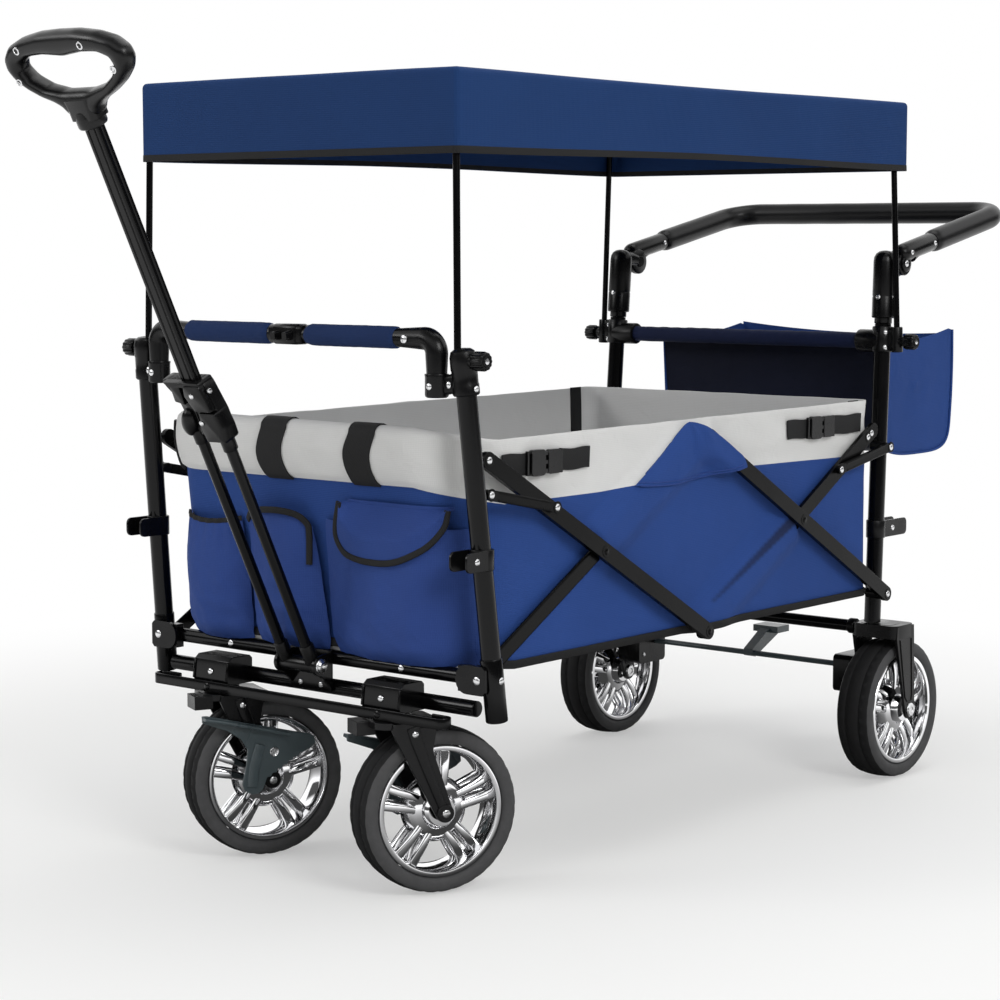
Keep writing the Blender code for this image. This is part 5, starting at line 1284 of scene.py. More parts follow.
def outerWall(look, column, z):
    # the outer face of the wall, in the build's own lengths
    share = column["share"]
    y = columnY(look, column, z)
    p = Vector((column["x"], y, z))
    normal = Vector((column["nx"], column["ny"], 0))
    lowZ = look["sideLow"] + (look["frontLow"] - look["sideLow"]) * share
    split = splitHeight(look, column)
    topZ = wallTop(look, column)
    hang = clamp((z - lowZ) / (topZ - lowZ))
    pinned = math.sin(math.pi * clamp(hang)) ** 0.5
    seed = 4.0 if column["x"] > 0 else 9.0
    s = p.x * 1.0 + p.y
    slack = 0.5 + 0.5 * noiseAt(s * 7.5, z * 4.0, seed)
    crease = noiseAt(s * 24 + z * 12, z * 17 - s * 4, seed + 2)
    away = -0.0026 * slack * pinned + 0.0007 * crease
    if z > split:
        band = (z - split) / (topZ - split)
        leftward = clamp((0.12 - column["x"]) / 0.26)
        full = look["rollOut"] + look["rollMore"] * smoothStep(leftward)
        rolled = math.sin(math.pi * clamp(0.06 + 0.80 * band)) ** 0.5
        away += share * full * (0.25 + 0.75 * abs(column["ny"])) * rolled
        away += 0.0016 * noiseAt(s * 14 + z * 30, z * 26 - s * 9, seed + 7)
        tug = noiseAt(s * 12 - z * 16, z * 22, seed + 5)
        away += -0.0009 + 0.0013 * tug
    away = min(away, 0.0008 + share * 0.0240)
    if column["nx"] > 0.99 or column["nx"] < -0.99:
        lift = clothOver(y, z) * clamp((0.5450 - z) / 0.0180)
        away = away * (1 - lift) + look["ridgeX"] * lift
    return p + normal * away


def wallTop(look, column):
    if column["share"] > 0:
        side = look["sideTop"]
        return side + (look["frontTop"] - side) * column["share"]
    if "along" in column:
        return look["sideTop"] + look["topRise"] * column["along"]
    return look["sideTop"] + look["topRise"]


def innerWall(look, column, z):
    share = column["share"]
    split = splitHeight(look, column)
    topZ = wallTop(look, column)
    y = columnY(look, column, z)
    normal = Vector((column["nx"], column["ny"], 0))
    band = clamp((z - split + 0.01) / (topZ - split + 0.01))
    thick = look["wall"] + share * look["roll"] * smoothStep(band)
    s = column["x"] + y
    seed = 14.0 if column["x"] > 0 else 19.0
    fold = noiseAt(s * 9 + z * 7, z * 8 - s * 2, seed)
    small = noiseAt(s * 26, z * 24, seed + 3)
    hang = clamp((z - look["floor"]) / (topZ - look["floor"]))
    loose = math.sin(math.pi * hang) ** 0.6
    ridge = (z - 0.492 - 0.006 * noiseAt(s * 4, 1.5, seed)) / 0.0060
    thick += 0.0024 * math.exp(-ridge * ridge) * (0.6 + 0.4 * small)
    thick += (0.0030 * (0.5 + 0.5 * fold) ** 2 + 0.0008 * (0.5 + 0.5 * small)) * loose + 0.0012 * loose
    return Vector((column["x"], y, z)) - normal * thick


def makeBasket(look):
    columns = basketColumns(look)
    bm = bmesh.new()
    # the painted shadow of the rear inner bar, one value for each vertex
    dark = bm.verts.layers.float.new("paintedBarShadow")
    rows, kinds = [], []

    def addRow(points, kind, shades=None):
        ring = []
        for k, p in enumerate(points):
            vert = bm.verts.new(at(p.x, p.y, p.z))
            vert[dark] = shades[k] if shades else 0.0
            ring.append(vert)
        rows.append(ring)
        kinds.append(kind)

    centre = Vector((0, 0.42, 0))
    lowZ = [look["sideLow"] + (look["frontLow"] - look["sideLow"]) * c["share"] for c in columns]
    split = [splitHeight(look, c) for c in columns]
    tops = [wallTop(look, c) for c in columns]
    for step in range(9, 0, -1):
        pull = 1 - step / 9.2
        points = []
        for c, z in zip(columns, lowZ):
            edge = outerWall(look, c, z)
            near = 0.03 + 0.97 * pull
            flat = Vector((edge.x * near, centre.y + (edge.y - centre.y) * near, 0))
            lift = max(0.0, 1 - (1 - pull) * 14)
            flat.z = look["under"] + (z - look["under"]) * lift
            if c["share"] > 0 and pull > 0.9:
                flat.z = min(flat.z, look["under"] + 0.001)
            points.append(flat)
        addRow(points, 3)
    panelRows, collarRows = 46, 13
    for step in range(panelRows + 1):
        t = step / panelRows
        points = [outerWall(look, c, a + (b - a) * t) for c, a, b in zip(columns, lowZ, split)]
        # the side walls take the painted bar shadow
        shades = []
        for c, p in zip(columns, points):
            side = abs(c["nx"]) > 0.99
            shades.append(barShadow(p.y, p.z) if side else 0.0)
        addRow(points, 0 if step < panelRows else 1, shades)
    for step in range(1, collarRows + 1):
        t = step / collarRows
        addRow([outerWall(look, c, a + (b - a) * t) for c, a, b in zip(columns, split, tops)], 1)
    for step in range(1, 6):
        angle = math.pi * step / 6
        points = []
        for c, z in zip(columns, tops):
            outer, inner = outerWall(look, c, z), innerWall(look, c, z)
            mid = (outer + inner) / 2
            reach = (outer - inner) / 2
            rise = Vector((0, 0, reach.length * math.sin(angle) * 0.9))
            points.append(mid + reach * math.cos(angle) + rise)
        addRow(points, 1)
    innerRows = 22
    for step in range(innerRows + 1):
        t = step / innerRows
        addRow([innerWall(look, c, a + (look["floor"] - a) * t) for c, a in zip(columns, tops)], 2)
    for step in range(1, 16):
        pull = 1 - (step / 15.2)
        points = []
        for c in columns:
            edge = innerWall(look, c, look["floor"])
            near = 0.02 + 0.98 * pull
            p = Vector((edge.x * near, centre.y + (edge.y - centre.y) * near, 0))
            p.z = look["floor"] + 0.0012 * noiseAt(p.x * 11, p.y * 9, 2) - 0.001 * (1 - pull)
            points.append(p)
        addRow(points, 2)
    for one, two, kind in zip(rows, rows[1:], kinds):
        joinRings(bm, [one, two], kind)
    bm.faces.new(rows[0][::-1]).material_index = 3
    bm.faces.new(rows[-1]).material_index = 2
    clothPiece("basketCloth", bm, [blueCloth, greyCloth, innerClothShaded, blackTape], ["basket"], angle=60)
    return columns


basketPlaces = makeBasket(basketLook)


# the black tape bound round the lower edge, and the cord of piping at the left end of the collar
look = basketLook
bm = bmesh.new()
path = []
for c in basketPlaces:
    z = look["sideLow"] + (look["frontLow"] - look["sideLow"]) * c["share"] + 0.0028
    p = outerWall(look, c, z)
    path.append(at(p.x + c["nx"] * 0.0012, p.y + c["ny"] * 0.0012, z))
addSweep(bm, path, roundedBox(0.0026, 0.0105, 0.0010, 2), 0, side=(0, -1, 0), closed=True)
clothPiece("basketBinding", bm, [blackTape], angle=50)
bm = bmesh.new()
column = min((c for c in basketPlaces if c["share"] > 0 and c["nx"] < 0), key=lambda c: abs(c["nx"] + 0.80))
path = []
for k in range(15):
    z = look["frontSplit"] - 0.003 + (0.5440 - look["frontSplit"] + 0.003) * k / 14
    p = outerWall(look, column, z)
    path.append(at(p.x + column["nx"] * 0.0016, p.y + column["ny"] * 0.0016, z))
addSweep(bm, path, roundedBox(0.0060, 0.0120, 0.0024, 3), 0, side=(column["nx"], column["ny"], 0))
clothPiece("collarBindingL", bm, [blackTape], angle=50)
print("basket made")

# the two straps that hold the rolled front collar
strapLook = dict(centres=(-0.036, 0.106), width=0.041, low=0.4835, into=0.500, bow=0.009)
for number, centre in enumerate(strapLook["centres"]):
    spots, across = [], 9
    for k in range(26):
        for i in range(across):
            x = centre + strapLook["width"] * (i / (across - 1) - 0.5)
            column = dict(x=x, fromFront=0.0, nx=0.0, ny=-1.0, share=1.0)
            if k < 14:
                z = strapLook["low"] + (look["frontTop"] - strapLook["low"]) * k / 13
                p = outerWall(look, column, z) + Vector((0, -0.0022, 0))
            elif k < 20:
                angle = math.pi * (k - 13) / 7
                top, back = [wall(look, column, look["frontTop"]) for wall in (outerWall, innerWall)]
                mid, reach = (top + back) / 2, (top - back) / 2
                rise = Vector((0, 0, (reach.length * 0.9 + 0.0020) * math.sin(angle)))
                p = mid + reach * 1.18 * math.cos(angle) + rise
            else:
                z = look["frontTop"] + (strapLook["into"] - look["frontTop"]) * (k - 20) / 5
                p = innerWall(look, column, z) + Vector((0, 0.0022, 0))
            bow = math.sin(math.pi * min(1.0, k / 13)) * strapLook["bow"]
            spots.append(at(p.x - bow, p.y, p.z))
    clothShell("collarStrap%d" % number, spots, gridFaces(across - 1, 25), 0.0016, [blackTape])

# side straps with their release buckles, the strap on the far inner wall
sideStraps = dict(front=(0.040, 0.205, 0.5105), back=(0.640, 0.826, 0.5165), width=0.026)
for side, tag in ((1, "R"), (-1, "L")):
    for end, (y0, y1, z) in (("Front", sideStraps["front"]), ("Back", sideStraps["back"])):
        bm = bmesh.new()
        path = []
        for k in range(25):
            y = y0 + (y1 - y0) * k / 24
            lift = clothOver(y, z) * 0.0102
            wave = 0.0012 * math.sin(k * 0.9)
            path.append(at(side * (0.2516 + lift), y, z + wave * 0.6))
        addSweep(bm, path, roundedBox(0.0018, sideStraps["width"], 0.0008, 2), 0, side=(side, 0, 0))
        mid = y0 + (y1 - y0) * (0.45 if end == "Front" else 0.42)
        x = side * (0.2548 + clothOver(mid, z) * 0.0102)
        # buckle: a flat housing, its two spring arms showing at the gap, and a ladder bar
        for dy, wide, tall, deep in ((-0.014, 0.026, 0.031, 0.0066), (0.0165, 0.024, 0.029, 0.0060)):
            addSidePlate(bm, roundedBox(wide, tall, 0.0045, 4), abs(x) - deep / 2, side, deep, 1, mid + dy, z)
        for dz in (-0.0105, 0.0, 0.0105):
            addBlock(bm, at(x, mid + 0.0015, z + dz), (0.0044, 0.014, 0.0050), 1)
        for dy in (-0.0315, 0.0315):
            addBlock(bm, at(x - side * 0.0005, mid + dy, z), (0.0040, 0.0034, 0.0290), 1)
        clothPiece("sideStrap" + end + tag, bm, [blackTape, buckleAcetal], bevel=0.0007, angle=45)
for side, tag in ((1, "R"), (-1, "L")):
    bm = bmesh.new()
    column = dict(x=side * look["half"], along=0.972, nx=float(side), ny=0.0, share=0.0)
    path = []
    for k in range(12):
        z = wallTop(look, column) + (0.300 - wallTop(look, column)) * k / 11
        p = innerWall(look, column, z)
        path.append(at(p.x - side * 0.0010, p.y, z + 0.002))
    addSweep(bm, path, roundedBox(0.0014, 0.026, 0.0006, 2), 0, side=(side, 0, 0))
    clothPiece("innerStrap" + tag, bm, [blackTape], angle=50)
print("straps made")

# pivot hoods: a gusset of cloth that bulges over the top middle pivot and lies back on the collar at its left
hoodLook = dict(centre=(0.402, 0.500), crown=0.2731, rings=18, pivot=(0.437, 0.521), leaves=(0.503, 0.4855),
                cover=0.0118, fall=0.026, crease=0.0050)


def hoodOutline():
    base = smoothPath([(0.2890, 0.4690, 0), (0.3414, 0.4647, 0), (0.4061, 0.4655, 0), (0.4728, 0.4702, 0),
                       (0.5150, 0.4770, 0)], 40)
    right = smoothPath([(0.5150, 0.4770, 0), (0.5070, 0.4900, 0), (0.4900, 0.5010, 0), (0.4640, 0.5160, 0),
                        (0.4320, 0.5325, 0), (0.4150, 0.5400, 0), (0.4070, 0.5415, 0)], 36)[1:]
    left = smoothPath([(0.4070, 0.5415, 0), (0.3990, 0.5385, 0), (0.3794, 0.5265, 0), (0.3505, 0.5065, 0),
                       (0.3217, 0.4885, 0), (0.2890, 0.4690, 0)], 26)[1:-1]
    return base + right + left


def hoodX(look, y, z, seed):
    rest = 0.2526 + clothOver(y, z) * 0.0108
    a, b = Vector(look["pivot"]), Vector(look["leaves"])
    line = b - a
    share = clamp((Vector((y, z)) - a).dot(line) / line.length_squared)
    off = (Vector((y, z)) - a - line * share).length
    lift = smoothStep(clamp(1 - (off - look["cover"]) / look["fall"]))
    angle = math.atan2(z - 0.548, y - 0.407)
    far = math.hypot(z - 0.548, y - 0.407)
    pleat = (0.5 + 0.5 * math.sin(angle * 11.0 + 1.3)) * min(1.0, far / 0.03) * max(0.0, 1 - far / 0.11)
    small = 0.5 + 0.5 * noiseAt(y * 55, z * 55, seed)
    dent = look["crease"] * (0.75 * pleat + 0.35 * small) * (1 - 0.55 * lift)
    return max(rest, rest + (look["crown"] - rest) * lift - dent + 0.0012 * (1 - lift))


for side, tag in ((1, "R"), (-1, "L")):
    look = hoodLook
    outline = hoodOutline()
    cy, cz = look["centre"]
    count, rings = len(outline), look["rings"]
    places = [(cy, cz)] + [(cy + (p.x - cy) * ring / rings, cz + (p.y - cz) * ring / rings)
                           for ring in range(1, rings + 1) for p in outline]
    spots = [at(side * hoodX(look, y, z, 5.0 + side), y, z) for y, z in places]
    faces = fanFaces(count, rings)
    # its free upper edge turns in to the collar
    first = 1 + (rings - 1) * count
    tips = {}
    for k in range(count):
        if outline[k].y > 0.4835 and abs(spots[first + k].x) > 0.2560 and k >= 40:
            p = outline[k]
            tips[k] = len(spots)
            spots.append(at(side * 0.2535, p.x - 0.0015, p.y - 0.0030))
    for k in tips:
        n = (k + 1) % count
        if n in tips:
            faces.append((first + k, tips[k], tips[n], first + n))
    clothShell("pivotHood" + tag, spots, faces, 0.0011, [blueCloth])
    bm = bmesh.new()
    for drop in (0.0, 0.0042):
        seam = smoothPath([(0.2960, 0.4725, 0), (0.3450, 0.4700, 0), (0.4060, 0.4708, 0), (0.4700, 0.4755, 0),
                           (0.5070, 0.4815, 0)], 40)
        addSweep(bm, [at(side * (hoodX(look, p.x, p.y - drop, 5.0 + side) + 0.0001), p.x, p.y - drop)
                      for p in seam], circle(0.0009, 8), 0)
    clothPiece("hoodSeam" + tag, bm, [pocketCloth])
print("hoods made")

# front pockets: left, right, bottom and top edge on the panel, elastic in the mouth or not, and how far the
# right edge leans in at the top
pocketLook = dict(depth=0.0330, columns=34, rows=44,
                  pockets=dict(Left=(-0.224, -0.100, 0.2800, 0.4300, True, 0.0),
                               Middle=(-0.094, 0.030, 0.2800, 0.4440, False, 0.018),
                               Right=(0.036, 0.243, 0.2790, 0.4380, False, 0.0)))


def panelY(x, z):
    # the front wall's outer face at x, round its corner too
    r, wide = basketLook["frontCorner"], basketLook["half"] - basketLook["frontCorner"]
    over = max(0.0, abs(x) - wide)
    return frontFace(z) + (r - math.sqrt(max(0.0, r * r - over * over)))


def pocketSwell(u):
    return math.sin(math.pi * clamp(0.03 + 0.94 * u)) ** 0.78


def pocketFill(v):
    return 0.66 + 0.34 * max(0.0, 1 - abs(v - 0.30) / 0.60)


def pocketSurface(look, place, seed):
    # a slack pouch: full below, drawn in at its sides and, where it has elastic, at its mouth
    x0, x1, z0, z1, gathered, lean = place
    spots = []
    for j in range(look["rows"] + 1):
        v = j / look["rows"]
        fill = pocketFill(v) * (1 - below(v, 0.14) ** 2 * 0.80)
        mouth = 1 - (0.42 if gathered else 0.12) * above(v, 0.72) ** 1.4
        narrow = 1 - (0.16 if gathered else 0.0) * above(v, 0.60) ** 1.3 - 0.06 * below(v, 0.14)
        for i in range(look["columns"] + 1):
            u = i / look["columns"]
            arc = math.sin(math.pi * u)
            x = (x0 + x1) / 2 + (u - 0.5) * (x1 - x0) * narrow - lean * u * v ** 1.6
            z = z0 + (z1 - z0) * v - (0.0060 * arc * above(v, 0.6) if gathered else 0.0)
            # a leaning one's corners are round
            z -= 0.0045 * arc * below(v, 0.2) + lean * abs(2 * u - 1) ** 6 * v ** 5
            wrinkle = 0.5 + 0.5 * noiseAt(x * 34, z * 20, seed)
            small = noiseAt(x * 80 + z * 30, z * 60, seed + 4)
            corner = noiseAt(x * 22 - z * 26, z * 30 + x * 12, seed + 9)
            out = look["depth"] * pocketSwell(u) * fill * mouth * (0.80 + 0.20 * wrinkle)
            out += 0.0009 * small * (1 + 2.0 * below(v, 0.45))
            out += 0.0038 * corner * below(v, 0.85) * min(1.0, u * 6, (1 - u) * 6)
            if gathered:
                out -= 0.0022 * (0.5 + 0.5 * math.sin(u * 44)) * above(v, 0.62)
            spots.append(Vector((x, panelY(x, z) - 0.0010 - max(0.0, out), z)))
    return spots


for number, (key, place) in enumerate(pocketLook["pockets"].items()):
    look = pocketLook
    spots = pocketSurface(look, place, 3.0 + 5 * number)
    clothShell("frontPocket" + key, [at(*p) for p in spots], gridFaces(look["columns"], look["rows"]), 0.0010,
               [pocketCloth], ["front_pockets"] if number == 0 else [])
    # elastic along the gathered mouth, a thin hem along the others
    gathered = place[4]
    proud, hem = (0.0004, (0.0028, 0.0064, 0.0010)) if gathered else (0.0002, (0.0014, 0.0030, 0.0005))
    bm = bmesh.new()
    addSweep(bm, [at(p.x, p.y - proud, p.z) for p in spots[-look["columns"] - 1:]], roundedBox(*hem, 2),
             side=(0, -1, 0))
    clothPiece("pocketEdge" + key, bm, [blackTape if gathered else pocketCloth], angle=50)


def pocketFront(x, z):
    # how far forward the pockets stand at a spot of the panel
    best = panelY(x, z)
    for x0, x1, z0, z1, _, lean in pocketLook["pockets"].values():
        if x0 <= x <= x1 and z0 <= z <= z1 + 0.004:
            v = (z - z0) / (z1 - z0)
            u = min(1.0, (x - x0) / (x1 - x0 - lean * min(1.0, v) ** 1.6))
            best = min(best, panelY(x, z) - 0.001 - pocketLook["depth"] * pocketSwell(u) * pocketFill(v))
    return best


# the middle pocket's piping: an arch whose right leg hangs free
arch = smoothPath([(-0.094, 0, 0.4300), (-0.074, 0, 0.4425), (-0.035, 0, 0.4475), (-0.006, 0, 0.4440),
                   (0.0085, 0, 0.4330), (0.0115, 0, 0.4180), (0.0120, 0, 0.3830)], 44)
bm = bmesh.new()
addSweep(bm, [at(p.x, pocketFront(p.x, p.z) - 0.0014, p.z) for p in arch],
         roundedBox(0.0044, 0.0082, 0.0019, 3), side=(0, -1, 0))
clothPiece("pocketPiping", bm, [blackTape], angle=50)

# the right pocket's flap with its thick piping
flapLook = dict(left=0.0745, right=0.2245, top=0.4640, drop=0.0010, across=60, rows=18, bulge=0.0025,
                wall=0.0012, piping=(0.0040, 0.0078, 0.0018, 3), seam=(0.0016, 0.0050, 0.0006, 2))
look = flapLook
flapEdge = smoothPath([(look["left"], 0, look["top"]), (0.0640, 0, 0.4300), (0.0690, 0, 0.4120),
                       (0.0860, 0, 0.4010), (0.1230, 0, 0.3965), (0.1620, 0, 0.3995), (0.1990, 0, 0.4160),
                       (0.2190, 0, 0.4390), (look["right"], 0, 0.4620)], look["across"])
spots = []
for j in range(look["rows"] + 1):
    t = j / look["rows"]
    for k, low in enumerate(flapEdge):
        along = k / (look["across"] - 1)
        high = Vector((look["left"] + (look["right"] - look["left"]) * along, 0,
                       look["top"] - look["drop"] * along))
        p = high.lerp(low, t)
        full = 0.0030 + 0.0205 * pocketSwell(clamp((p.x - 0.036) / 0.207))  # it lies over the right pocket
        stand = 0.0030 + full * min(1.0, t * 1.7) + math.sin(math.pi * t) * look["bulge"]
        stand += 0.0010 * noiseAt(p.x * 40, p.z * 40, 8)
        spots.append(at(p.x, panelY(p.x, p.z) - stand, p.z))
clothShell("pocketFlap", spots, gridFaces(look["across"] - 1, look["rows"]), look["wall"], [pocketCloth])
bm = bmesh.new()
proud = Vector((0, -0.0006, 0))
addSweep(bm, [p + proud for p in spots[-look["across"]:]], roundedBox(*look["piping"]), 0, side=(0, -1, 0))
addSweep(bm, [p + proud for p in spots[:look["across"]]], roundedBox(*look["seam"]), 1, side=(0, -1, 0))
clothPiece("flapPiping", bm, [blackTape, pocketCloth], angle=50)
print("pockets made")

# rear bag: an open pouch on a bar, its front half painted dark navy as shade
# painted shade: the bag cloth in the dark navy of shade, for the bag's front half
bagPaintedShadeNavy = wovenPolyester("woven polyester bag painted shade", dict(dark="#040815", light="#0a112b", rough=0.74,
                                                          sheen=0.03, thread=2.2, pucker=40, slack=0.3,
                                                          weave=0.14))
navySleeve = wovenPolyester("woven polyester navy", dict(dark="#07102a", light="#0f1c40", rough=0.78,
                                                         sheen=0.03, thread=2.0, pucker=14, slack=0.3,
                                                         weave=0.2))
bagLook = dict(barZ=0.6275, barY=0.90736, barHalf=0.2238, barRadius=0.0080, sleeveHalf=0.2030, sleeve=0.0112,
               left=0.1720, right=0.2075, columns=44, rows=60, sideRings=14, sideCentre=(1.052, 0.556))
bagProfile = smoothPath([(0.9415, 0.6305, 0), (0.9450, 0.580, 0), (0.9520, 0.500, 0), (0.9640, 0.4700, 0),
                         (1.000, 0.4585, 0), (1.060, 0.4560, 0), (1.120, 0.4590, 0), (1.1480, 0.4760, 0),
                         (1.1560, 0.520, 0), (1.1590, 0.580, 0), (1.1580, 0.6360, 0)], bagLook["rows"] + 1)


def makeBagBody(look):
    # each row is a spot of the profile: down the front, under and up the back, all but its ends hanging slack
    spots = []
    for j, base in enumerate(bagProfile):
        v = j / look["rows"]
        inward = Vector((1.052 - base.x, 0.560 - base.y, 0)).normalized()
        hang = math.sin(math.pi * v)
        for i in range(look["columns"] + 1):
            u = -1 + 2 * i / look["columns"]
            x = -look["left"] + (look["right"] + look["left"]) * i / look["columns"]
            x += 0.0070 * max(0.0, -u) ** 3 * hang
            slack = 0.5 + 0.5 * noiseAt(x * 9, v * 7, 3)
            crease = noiseAt(x * 26 + v * 6, v * 22, 6)
            away = 0.0042 * slack * hang + 0.0009 * crease * hang
            away += 0.0054 * (1 - abs(u)) ** 0.8 * max(0.0, 1 - v * 5)
            dip = 0.0080 * (1 - u * u) * (max(0.0, 1 - v * 9) + max(0.0, 1 - (1 - v) * 9))
            lean = 0.0045 * u * above(v, 0.8)
            spots.append(at(x, base.x + inward.x * away, base.y + inward.y * away - dip - lean))
    faces = gridFaces(look["columns"], look["rows"])
    marks = [0 if k >= 31 * look["columns"] else 1 for k in range(len(faces))]  # the front half is painted dark navy as shade
    shellPiece("bagBody", spots, faces, 0.0014, [bagCloth, bagPaintedShadeNavy], "rear_frame", ["rear_bag"],
               "bag_cloth", marks)


def makeBagSide(look, side, tag):
    # rings from the middle of the side out to the profile, slack but for the outer edge
    half = look["right"] if side > 0 else look["left"]
    back, front = (1.160, 0.640), (0.9415, 0.6305)
    rim = [Vector((back[0] + (front[0] - back[0]) * k / 20,
                   back[1] + (front[1] - back[1]) * k / 20 - 0.010 * math.sin(math.pi * k / 20), 0))
           for k in range(1, 20)]
    loop = bagProfile + rim
    centre = Vector((*look["sideCentre"], 0))
    count, rings = len(loop), look["sideRings"]
    spots = [at(side * (half + 0.0006), centre.x, centre.y)]
    for ring in range(1, rings + 1):
        t = ring / rings
        for p in loop:
            q = centre.lerp(p, t)
            slack = 0.5 + 0.5 * noiseAt(q.x * 16, q.y * 14, 5.0 * side)
            small = noiseAt(q.x * 50, q.y * 44, 7.0 * side)
            x = half + 0.0014 - (0.0062 * slack + 0.0007 * small) * (1 - t ** 4) - 0.0030 * t ** 8
            spots.append(at(side * x, q.x, q.y))
    shellPiece("bagSide" + tag, spots, fanFaces(count, rings), 0.0013, [bagCloth], "rear_frame", [],
               "bag_cloth")
    bm = bmesh.new()
    addSweep(bm, [at(side * (half - 0.0002), p.x, p.y) for p in bagProfile],
             roundedBox(0.0034, 0.0034, 0.0014, 3), side=(1, 0, 0))
    makePiece("bagPiping" + tag, bm, [bagCloth], "rear_frame", [], "bag_cloth", angle=50)


def makeBagSleeve(look, count=28, steps=60):
    # the strip of cloth from the bar to the bag's front, then the puckered sleeve over the bar
    spots = []
    for j in range(9):
        t = j / 8
        for i in range(look["columns"] + 1):
            u = -1 + 2 * i / look["columns"]
            hem = 0.001 - look["left"] + (look["right"] + look["left"] - 0.002) * i / look["columns"]
            x = u * 0.2015 * (1 - t) + hem * t
            y = look["barY"] + 0.0090 + (0.9425 - look["barY"] - 0.0090) * t
            z = look["barZ"] + 0.0060 - 0.0035 * t - 0.0075 * (1 - u * u) * t - 0.0030 * math.sin(math.pi * t)
            spots.append(at(x, y, z + 0.0008 * noiseAt(x * 40, t * 3, 2)))
    shellPiece("bagStrip", spots, gridFaces(look["columns"], 8), 0.0016, [navySleeve], "rear_frame", [],
               "bag_cloth")
    bm = bmesh.new()
    rings = []
    for k in range(steps + 1):
        u = -1 + 2 * k / steps
        x = u * look["sleeveHalf"]
        ring = []
        for n in range(count):
            a = math.tau * n / count
            r = look["sleeve"] + 0.0003 * math.sin(k * 1.7) * (0.5 + 0.5 * math.cos(a - 0.8))
            r += 0.0004 * noiseAt(x * 60, a, 3) + (0.0008 if abs(u) > 0.975 else 0.0)
            ring.append(bm.verts.new(at(x, look["barY"] + r * math.cos(a), look["barZ"] + r * math.sin(a))))
        rings.append(ring)
    joinRings(bm, rings)
    capRings(bm, rings)
    makePiece("bagSleeve", bm, [navySleeve], "rear_frame", [], "bag_cloth")


def makeBagBar(look):
    bm = bmesh.new()
    y, z = look["barY"], look["barZ"]
    addTube(bm, [at(-look["barHalf"], y, z), at(look["barHalf"], y, z)], look["barRadius"], 0, 28, 0.001)
    for side in (1, -1):
        addTube(bm, [at(side * 0.2170 - 0.0042, y, z), at(side * 0.2170 + 0.0042, y, z)], 0.0098, 1, 28,
                0.0008)
        addRivet(bm, at(side * 0.2170, y - 0.0094, z), (0, -1, 0), 2, 0.0030)
    makePiece("bagBar", bm, [blackSteel, blackNylon, rivetSteel], "rear_frame", ["bag_bar"], "tube",
              bevel=0.0004)


makeBagBody(bagLook)
for side, tag in ((1, "R"), (-1, "L")):
    makeBagSide(bagLook, side, tag)
makeBagSleeve(bagLook)
makeBagBar(bagLook)
print("bag made")

# pull handle
pullLook = dict(tilt=26.3, rod=0.00675, rodX=0.0215, rodEnd=0.330, pole=(0.0220, 0.0120), poleStart=0.322,
                poleEnd=0.7187)
cosT, sinT = math.cos(math.radians(pullLook["tilt"])), math.sin(math.radians(pullLook["tilt"]))


def onPull(across, along, out=0.0):
    return at(across, pullY - along * sinT - out * cosT, pullZ + along * cosT - out * sinT)


alongPull = (onPull(0, 1) - onPull(0, 0)).normalized()
outPull = (onPull(0, 0, 1) - onPull(0, 0, 0)).normalized()

bm = bmesh.new()
addTube(bm, [onPull(-0.02825, 0), onPull(0.02825, 0)], 0.0100, 1, 32, 0.0012)
for x in (-0.02825, 0.02825):
    addRivet(bm, onPull(x, 0), (1 if x > 0 else -1, 0, 0), 2, 0.0060)
for x in (-pullLook["rodX"], pullLook["rodX"]):
    addTube(bm, [onPull(x, 0.004), onPull(x, 0.060), onPull(x, pullLook["rodEnd"])], pullLook["rod"], 0, 28)
    addTube(bm, [onPull(x, -0.002), onPull(x, 0.030)], 0.0088, 1, 28, 0.0016)
makePiece("pullRods", bm, [blackSteel, blackNylon, rivetSteel], "pull_lower", ["pull_yoke"], "tube",
          bevel=0.0010, angle=38)

# the latch head: a back plate with a wing at its left, a clamp body over the right rod and the pole, and a
# round thumb lobe over the left rod
bm = bmesh.new()


def headPart(outline, low, high, soft, around=72):
    loop = softLoop(outline, around, 1)
    mx, my = sum(a for a, b in loop) / around, sum(b for a, b in loop) / around
    rows = []
    for out, grow in ((low, -soft), (low + 0.3 * soft, -0.3 * soft), (low + soft, 0.0), (high - soft, 0.0),
                      (high - 0.3 * soft, -0.3 * soft), (high, -soft)):
        ring = []
        for a, b in loop:
            length = max(0.001, math.hypot(a - mx, b - my))
            ring.append(bm.verts.new(onPull(a + (a - mx) / length * grow, b + (b - my) / length * grow, out)))
        rows.append(ring)
    joinRings(bm, rows)
    capRings(bm, rows)


headPart([(-0.0300, 0.3240), (0.0300, 0.3240), (0.0300, 0.3500), (0.0225, 0.3880), (0.0200, 0.3925),
          (-0.0300, 0.3925), (-0.0455, 0.3925), (-0.0440, 0.3860), (-0.0300, 0.3670), (-0.0270, 0.3480)],
         -0.0125, 0.0050, 0.0014)
headPart([(0.0010, 0.3560), (0.0275, 0.3560), (0.0250, 0.3720), (0.0215, 0.3890), (-0.0040, 0.3890),
          (-0.0075, 0.3760)], 0.0040, 0.0140, 0.0020)
headPart([(0.0010, 0.3150), (0.0320, 0.3150), (0.0330, 0.3320), (0.0300, 0.3540), (0.0040, 0.3540),
          (-0.0020, 0.3350)], -0.0120, 0.0125, 0.0030)
headPart([(-0.0300, 0.3860), (0.0220, 0.3860), (0.0215, 0.3925), (-0.0380, 0.3925)], -0.0120, 0.0120, 0.0014)
headPart([(-0.0310, 0.3660), (-0.0160, 0.3620), (-0.0150, 0.3900), (-0.0300, 0.3880)], 0.0030, 0.0100, 0.0016)
